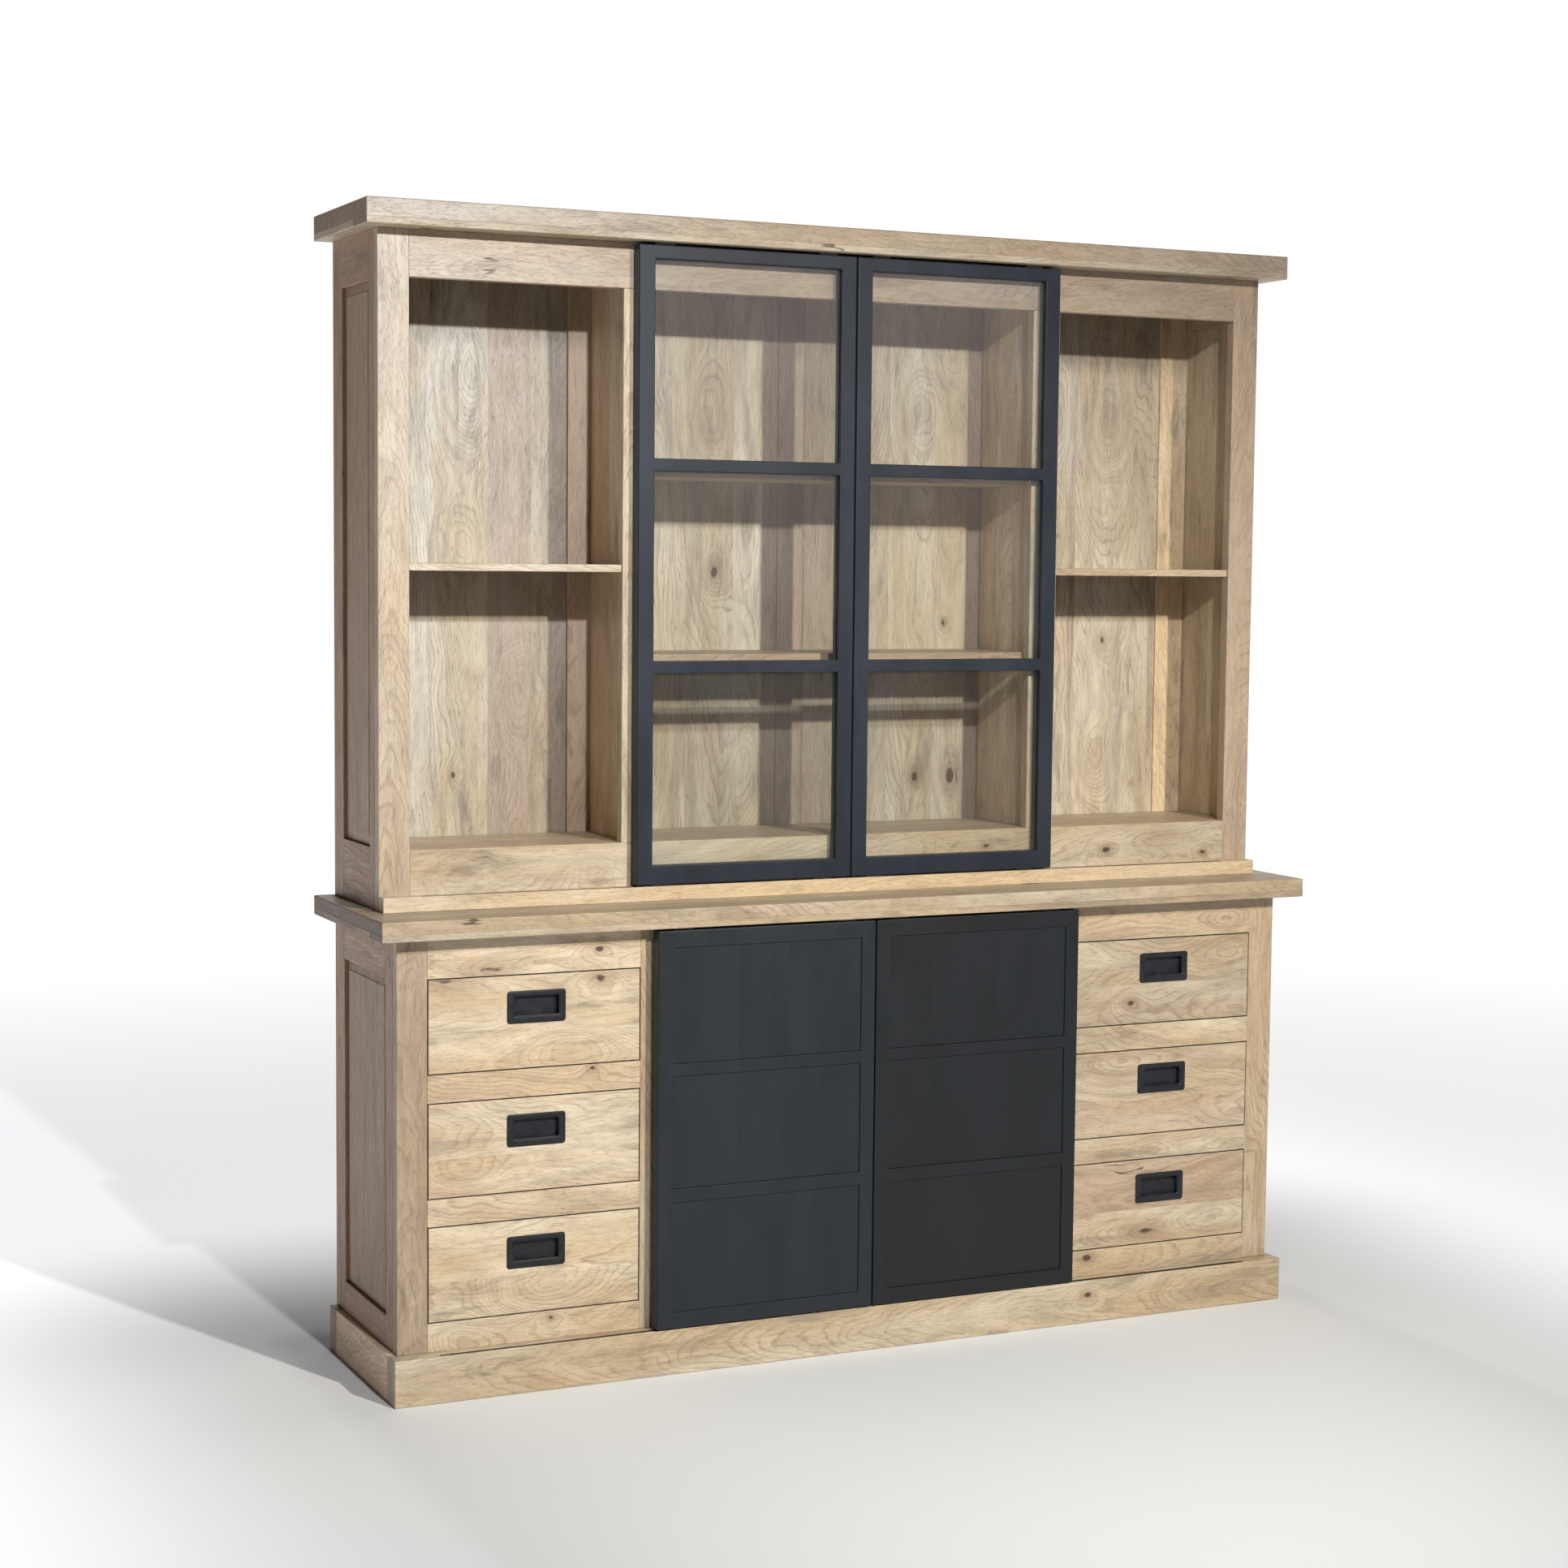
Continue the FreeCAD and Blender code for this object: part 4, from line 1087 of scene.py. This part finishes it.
def f(p):
    for s in (-1, 1):
        for z0, z1 in DR_Z:
            bz0, bz1 = z0 + 12.0, z1 - 18.0
            zl = bz0 - 0.3
            zl0 = max(zl - 18.0, 150.0)
            for xa, xb in ((480.0, 510.0), (985.0, 934.5)):
                d = 1.0 if xb > xa else -1.0
                for xe, za, zb in ((xb + d * 14, zl0, zl), (xb - d * 0.6, zl, zl + 50), (xb + d * 14, bz1 + 1.2, bz1 + 17.2)):
                    a, b = sorted((s * xa, s * xe))
                    board(p, (a, b), (-160, 207), (za, zb), "y", r=1.0, tone=0.92, warm=0.4, fig=0.3)


make("drawer_runners", "wood_drawer_box", f)


FRONT_KNOTS = {"drawer_left_top": [(803, -588, 9), (674, -655, -20)],
               "drawer_left_middle": [(425, -880, -18)],
               "drawer_left_bottom": [(205, -705, -22)],
               "drawer_right_top": [(790, 880, -20), (680, 640, 7)],
               "drawer_right_middle": [(545, 610, -20)],
               "drawer_right_bottom": [(190, 860, -18)]}


def drawer_front(name, s, z0, z1, pz):
    def f(p):
        rnd = seeded(name, "glue")
        cx = s * PX
        xs = sorted([s * 504.0, s * 940.5]) + [cx - 55.75, cx + 55.75]
        ys = [-185.0, -170.75, -163.0]
        zs = sorted([z0, z1, pz - 27.25, pz + 27.25])
        glue = z0 + (z1 - z0) * rnd.uniform(0.30, 0.70)
        if pz - 33 < glue < pz + 33:
            glue = pz - 45
        zs = sorted(zs + [glue])
        xs = sorted(xs)

        def full(i, j, k):
            mx, mz = (xs[i] + xs[i + 1]) / 2, (zs[k] + zs[k + 1]) / 2
            return not (j == 0 and abs(mx - cx) < 55 and abs(mz - pz) < 27)
        # left fronts are toned lighter; the right ones, the top one most, darker as painted shade where the light falls
        # off; edge darkens the sides as painted shade in the gaps
        cells(p, xs, ys, zs, full, grain="x", tone=1.12 if s < 0 else (0.90 if z0 > 600 else 0.99), warm=0.45, fig=0.85, cuts=[glue], jit=0.04,
              knots=FRONT_KNOTS.get(name), edge=0.30)
    make(name + "_front", WOOD, f, body=name, bevel=(0.9, 2))


def drawer_box(name, s, z0, z1):
    bz0, bz1 = z0 + 12.0, z1 - 18.0

    def f(p):
        for a, b in ((510.0, 524.0), (920.5, 934.5)):
            board(p, sx(s, a, b), (-163, 190), (bz0, bz1), "y", r=1.6, fine=2, tone=1.0, warm=0.4, fig=0.5)
        board(p, sx(s, 524, 920.5), (176, 190), (bz0 + 14, bz1), "x", r=1.4, fine=2, tone=1.0, warm=0.4, fig=0.5)
        board(p, sx(s, 519.2, 925.3), (-163, 190), (bz0 + 6, bz0 + 14), "x", r=0.6, stave=110, wide="y",
              tone=0.96, warm=0.35, fig=0.4)
    make(name + "_box", "wood_drawer_box", f, body=name)


def rr_loop(cx, cz, w, h, r, y, seg=6):
    """Rounded rectangle in the XZ plane."""
    pts = []
    r = min(r, w / 2 - 0.01, h / 2 - 0.01)
    for qx, qz, a0 in ((1, 1, 0), (-1, 1, 90), (-1, -1, 180), (1, -1, 270)):
        for i in range(seg + 1):
            a = math.radians(a0 + 90.0 * i / seg)
            pts.append((cx + qx * (w / 2 - r) + r * math.cos(a), y, cz + qz * (h / 2 - r) + r * math.sin(a)))
    return pts


def pull(name, s, pz):
    cx, az = s * PX, pz + 2.0
    L = [
        (cx, pz, 111, 54, 5, -171.0), (cx, pz, 111, 54, 5, -185.0),
        (cx, pz, 121, 64, 6, -185.0), (cx, pz, 121, 64, 6, -186.2),
        (cx, pz, 120.5, 63.5, 5.8, -186.7), (cx, pz, 119.4, 62.4, 5.3, -187.0),
        (cx, az, 99.0, 43.0, 4.4, -187.0), (cx, az, 97.6, 41.8, 4.2, -186.75),
        (cx, az, 96.4, 40.8, 4.0, -186.1), (cx, az, 95.2, 39.8, 3.8, -185.6),
        (cx, az, 93.4, 38.3, 3.6, -185.45), (cx, az, 93.0, 38.0, 3.5, -185.2),
        (cx, az, 93.0, 38.0, 3.5, -184.4), (cx, az, 93.6, 38.4, 3.6, -184.0),
        (cx, pz, 107, 50, 4, -184.0), (cx, pz, 107, 50, 4, -177.0),
        (cx, pz, 106, 49, 4.5, -174.8), (cx, pz, 103.5, 46.5, 5, -173.4), (cx, pz, 100, 43, 5, -173.0),
    ]
    seg = 6
    verts, faces = [], []
    n = 4 * (seg + 1)
    for a, b, w, h, r, y in L:
        verts += rr_loop(a, b, w, h, r, y, seg)
    for k in range(len(L) - 1):
        for i in range(n):
            j = (i + 1) % n
            faces.append((k * n + i, k * n + j, (k + 1) * n + j, (k + 1) * n + i))
    faces.append(tuple(range(n))[::-1])
    faces.append(tuple((len(L) - 1) * n + i for i in range(n)))
    me = bpy.data.meshes.new(name + "_pull")
    me.from_pydata([(x * MM, y * MM, z * MM) for x, y, z in verts], [], faces)
    me.update()
    import bmesh
    bm = bmesh.new()
    bm.from_mesh(me)
    bmesh.ops.recalc_face_normals(bm, faces=bm.faces)
    bm.to_mesh(me)
    bm.free()
    me.polygons.foreach_set("use_smooth", [True] * len(me.polygons))
    me.set_sharp_from_angle(angle=math.radians(40))
    me.materials.append(MAT["pull_metal"])
    ob = bpy.data.objects.new(name + "_pull", me)
    scene.collection.objects.link(ob)
    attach(ob, name)
    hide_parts(name + "_pull")
    return ob


for row, (z0, z1) in enumerate(DR_Z):
    for side, s in (("left", -1), ("right", 1)):
        nm = "drawer_%s_%s" % (side, ROWS[row])
        drawer_front(nm, s, z0, z1, PULL_Z[row])
        drawer_box(nm, s, z0, z1)
        pull(nm, s, PULL_Z[row])

# ---- sliding doors
UPANES = [(1011.6, 1397.9), (1423.0, 1800.9), (1826.5, 2218.5)]
LFIELDS = [(127.3, 350.1), (377.6, 603.9), (629.0, 861.7)]


def upper_door(side, s):
    body = "upper_door_" + side
    R = 7.0

    def fr(p):
        xs = sorted(s * v for v in (1.0, 35.4 - R, 35.4, 445.9, 445.9 + R, 480.6))
        ys = [-107.0, -98.0, -79.0]
        zs = sorted([973.0, 2246.0] + [v for a, b in UPANES for v in (a - R, a, b, b + R)])

        def full(i, j, k):
            mx, mz = abs(xs[i] + xs[i + 1]) / 2, (zs[k] + zs[k + 1]) / 2
            for a, b in UPANES:
                if 35.4 < mx < 445.9 and a < mz < b:
                    return False
                if j == 1 and 35.4 - R < mx < 445.9 + R and a - R < mz < b + R:
                    return False
            return True
        cells(p, xs, ys, zs, full, grain="z", jit=0.0)
    make(body + "_frame", "paint_slate", fr, body=body, bevel=(3.0, 3), inner=0.7)

    def gl(p):
        for a, b in UPANES:
            board(p, sx(s, 35.4 - 6.5, 445.9 + 6.5), (-98, -94), (a - 6.5, b + 6.5), "z", r=0.5)
    make(body + "_glass", "pane_glass", gl, body=body)

    def bd(p):
        for a, b in UPANES:
            y = (-94, -80)
            board(p, sx(s, 35.4 - R, 35.4), y, (a - R, b + R), "z", r=1.4, fine=2)
            board(p, sx(s, 445.9, 445.9 + R), y, (a - R, b + R), "z", r=1.4, fine=2)
            board(p, sx(s, 35.4, 445.9), y, (a - R, a), "x", r=1.4, fine=2)
            board(p, sx(s, 35.4, 445.9), y, (b, b + R), "x", r=1.4, fine=2)
    make(body + "_beads", "paint_slate", bd, body=body)


def lower_door(side, s):
    body = "lower_door_" + side

    def fr(p):
        xs = sorted(s * v for v in (1.0, 32.8, 449.4, 481.0))
        ys = [-227.0, -195.0]
        zs = sorted([95.0, 896.5] + [v for f in LFIELDS for v in f])

        def full(i, j, k):
            mx, mz = abs(xs[i] + xs[i + 1]) / 2, (zs[k] + zs[k + 1]) / 2
            return not (32.8 < mx < 449.4 and any(a < mz < b for a, b in LFIELDS))
        # the right door is toned darker as painted shade where the light falls off
        cells(p, xs, ys, zs, full, grain="z", tone=0.96 if s < 0 else 0.57, jit=0.0)
    make(body + "_frame", "paint_charcoal", fr, body=body, bevel=(3.0, 3), inner=0.35)

    def pn(p):
        for a, b in LFIELDS:
            # the right door's panels are toned darker as painted shade where the light falls off
            board(p, sx(s, 33.0, 449.2), (-224.5, -202.5), (a + 0.2, b - 0.2), "z", r=0.8, fine=2, stave=120, wide="x",
                  tone=0.96 if s < 0 else 0.57, jit=0.0)
    make(body + "_panels", "paint_charcoal", pn, body=body)


for side, s in (("left", -1), ("right", 1)):
    upper_door(side, s)
    lower_door(side, s)

# ---- running gear keeps its CAD shape
for n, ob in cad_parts.items():
    if n.endswith("_glides"):
        key = "nylon"
    elif n in ("door_tracks", "door_guides"):
        key = "track"
    else:
        continue
    ob.data.materials.clear()
    ob.data.materials.append(MAT[key])
    w = ob.modifiers.new("weld", "WELD")
    w.merge_threshold = 0.00002
    m = ob.modifiers.new("edge", "BEVEL")
    m.width = 0.0006 if key == "nylon" else 0.0003
    m.segments = 2
    m.limit_method = "ANGLE"
    m.angle_limit = math.radians(35)

# =====================================================================
# stage and light
# =====================================================================
def floor_material():
    """Pale matt floor with a painted glow: emission makes it white beside and behind the cabinet, and that glow lights
    the cabinet as a fill.
    """
    g = Graph("floor")
    fx, fy, fz = g.sep(g.t.nodes.new("ShaderNodeTexCoord").outputs["Object"])
    dx = g.math("MAXIMUM", g.math("SUBTRACT", g.math("ABSOLUTE", fx), 1.06), 0.0)
    dy = g.math("MAXIMUM", g.math("SUBTRACT", fy, 0.30), 0.0)
    d = g.vec("LENGTH", g.comb(dx, dy, 0.0))
    g.set("Base Color", (0.84, 0.87, 0.90, 1))
    g.set("Roughness", 0.95)
    g.set("Specular IOR Level", 0.0)
    g.set("Emission Color", (1.0, 1.0, 1.0, 1))
    front = g.curve(fy, -4.5, -2.5, 0.0, 1.0)
    glow = g.math("ADD", g.curve(d, 0.0, 1.1, 0.06, 0.70), g.curve(d, 1.5, 7.0, 0.0, 0.30))
    glow = g.math("MULTIPLY", glow, g.math("MULTIPLY", front, g.curve(d, 0.0, 0.1)))
    # far off it is white on every side, without lighting the cabinet
    seen = g.t.nodes.new("ShaderNodeLightPath").outputs["Is Camera Ray"]
    far = g.math("MULTIPLY", seen, g.curve(g.vec("LENGTH", g.comb(fx, fy, 0.0)), 3.0, 8.0, 0.0, 1.0))
    g.set("Emission Strength", g.math("MAXIMUM", glow, far))
    return g.mat


floor_me = bpy.data.meshes.new("floor")
S = 60.0
floor_me.from_pydata([(-S, -S, 0), (S, -S, 0), (S, S, 0), (-S, S, 0)], [], [(0, 1, 2, 3)])
floor_me.materials.append(floor_material())
floor_ob = bpy.data.objects.new("floor", floor_me)
scene.collection.objects.link(floor_ob)
floor_ob.location.z = -0.0005

# the surroundings: dim in front of the cabinet, a fill from the left, and a
# white wall far behind it
WORLD_BASE, WORLD_LEFT, WORLD_BACK = 0.01, 0.03, 1.0
world = bpy.data.worlds.new("world")
scene.world = world
world.use_nodes = True
wt = world.node_tree
bg = wt.nodes["Background"]
wc = wt.nodes.new("ShaderNodeTexCoord").outputs["Generated"]


def lobe(direction, a, b, lo, hi):
    d = wt.nodes.new("ShaderNodeVectorMath")
    d.operation = "DOT_PRODUCT"
    d.inputs[1].default_value = Vector(direction).normalized()
    wt.links.new(wc, d.inputs[0])
    r = wt.nodes.new("ShaderNodeMapRange")
    r.interpolation_type = "SMOOTHSTEP"
    wt.links.new(d.outputs["Value"], r.inputs["Value"])
    for k, val in (("From Min", a), ("From Max", b), ("To Min", lo), ("To Max", hi)):
        r.inputs[k].default_value = val
    return r.outputs[0]


def add(a, b):
    n = wt.nodes.new("ShaderNodeMath")
    n.operation = "ADD"
    wt.links.new(a, n.inputs[0])
    wt.links.new(b, n.inputs[1])
    return n.outputs[0]


wall = lobe((math.sin(math.radians(30)), math.cos(math.radians(30)), 0.0), 0.62, 0.86, 0.0, 1.0)
base = lobe((0, 0, 1), -2.0, 2.0, WORLD_BASE, WORLD_BASE)
fill = lobe((-1.0, 0.30, 0.25), 0.20, 0.85, 0.0, WORLD_LEFT)
tint = wt.nodes.new("ShaderNodeMix")
tint.data_type = "RGBA"
wt.links.new(wall, tint.inputs[0])
tint.inputs[6].default_value = (1.0, 0.90, 0.96, 1)
tint.inputs[7].default_value = (1.0, 1.0, 1.0, 1)
# the same plain white is seen behind the cabinet from every side
seen = wt.nodes.new("ShaderNodeLightPath").outputs["Is Camera Ray"]
plain = wt.nodes.new("ShaderNodeMix")
plain.data_type = "RGBA"
wt.links.new(seen, plain.inputs[0])
wt.links.new(tint.outputs[2], plain.inputs[6])
plain.inputs[7].default_value = (1.0, 1.0, 1.0, 1)
wt.links.new(plain.outputs[2], bg.inputs[0])
scaled = wt.nodes.new("ShaderNodeMath")
scaled.operation = "MULTIPLY"
scaled.inputs[1].default_value = WORLD_BACK
wt.links.new(wall, scaled.inputs[0])
side = lobe((0.445, -0.895, 0.03), 0.962, 0.985, 0.0, 1.0)
high = lobe((0.0, 0.0, 1.0), -0.05, 0.09, 0.10, 0.80)
band = wt.nodes.new("ShaderNodeMath")
band.operation = "MULTIPLY"
wt.links.new(side, band.inputs[0])
wt.links.new(high, band.inputs[1])
light = wt.nodes.new("ShaderNodeMix")
light.data_type = "FLOAT"
wt.links.new(seen, light.inputs[0])
wt.links.new(add(add(add(scaled.outputs[0], base), fill), band.outputs[0]), light.inputs[2])
light.inputs[3].default_value = 1.0
wt.links.new(light.outputs[0], bg.inputs[1])


def spot(name, pos, target, half, blend, radius, power, col):
    L = bpy.data.lights.new(name, "SPOT")
    L.spot_size = math.radians(2 * half)
    L.spot_blend = blend
    L.shadow_soft_size = radius
    L.energy = power
    L.color = col
    ob = bpy.data.objects.new(name, L)
    ob.location = pos
    ob.rotation_euler = (Vector(target) - Vector(pos)).to_track_quat("-Z", "Y").to_euler()
    scene.collection.objects.link(ob)
    return ob


spot("lamp_right", (0.80, -5.16, 3.53), (-0.1, 0.0, 0.45), 23.0, 1.0, 0.07, 1110.0, (1.0, 0.94, 0.825))
spot("lamp_left", (-0.82, -4.0, 3.25), (-0.4, 0.0, 1.2), 60.0, 0.2, 0.06, 385.0, (0.93, 0.93, 0.95))
spot("lamp_left_high", (-0.82, -4.0, 3.25), (-1.3, 0.0, 2.05), 15.5, 1.0, 0.06, 440.0, (0.74, 0.92, 1.14))

scene.view_settings.view_transform = "Standard"
scene.view_settings.look = "None"
scene.view_settings.exposure = 0.0
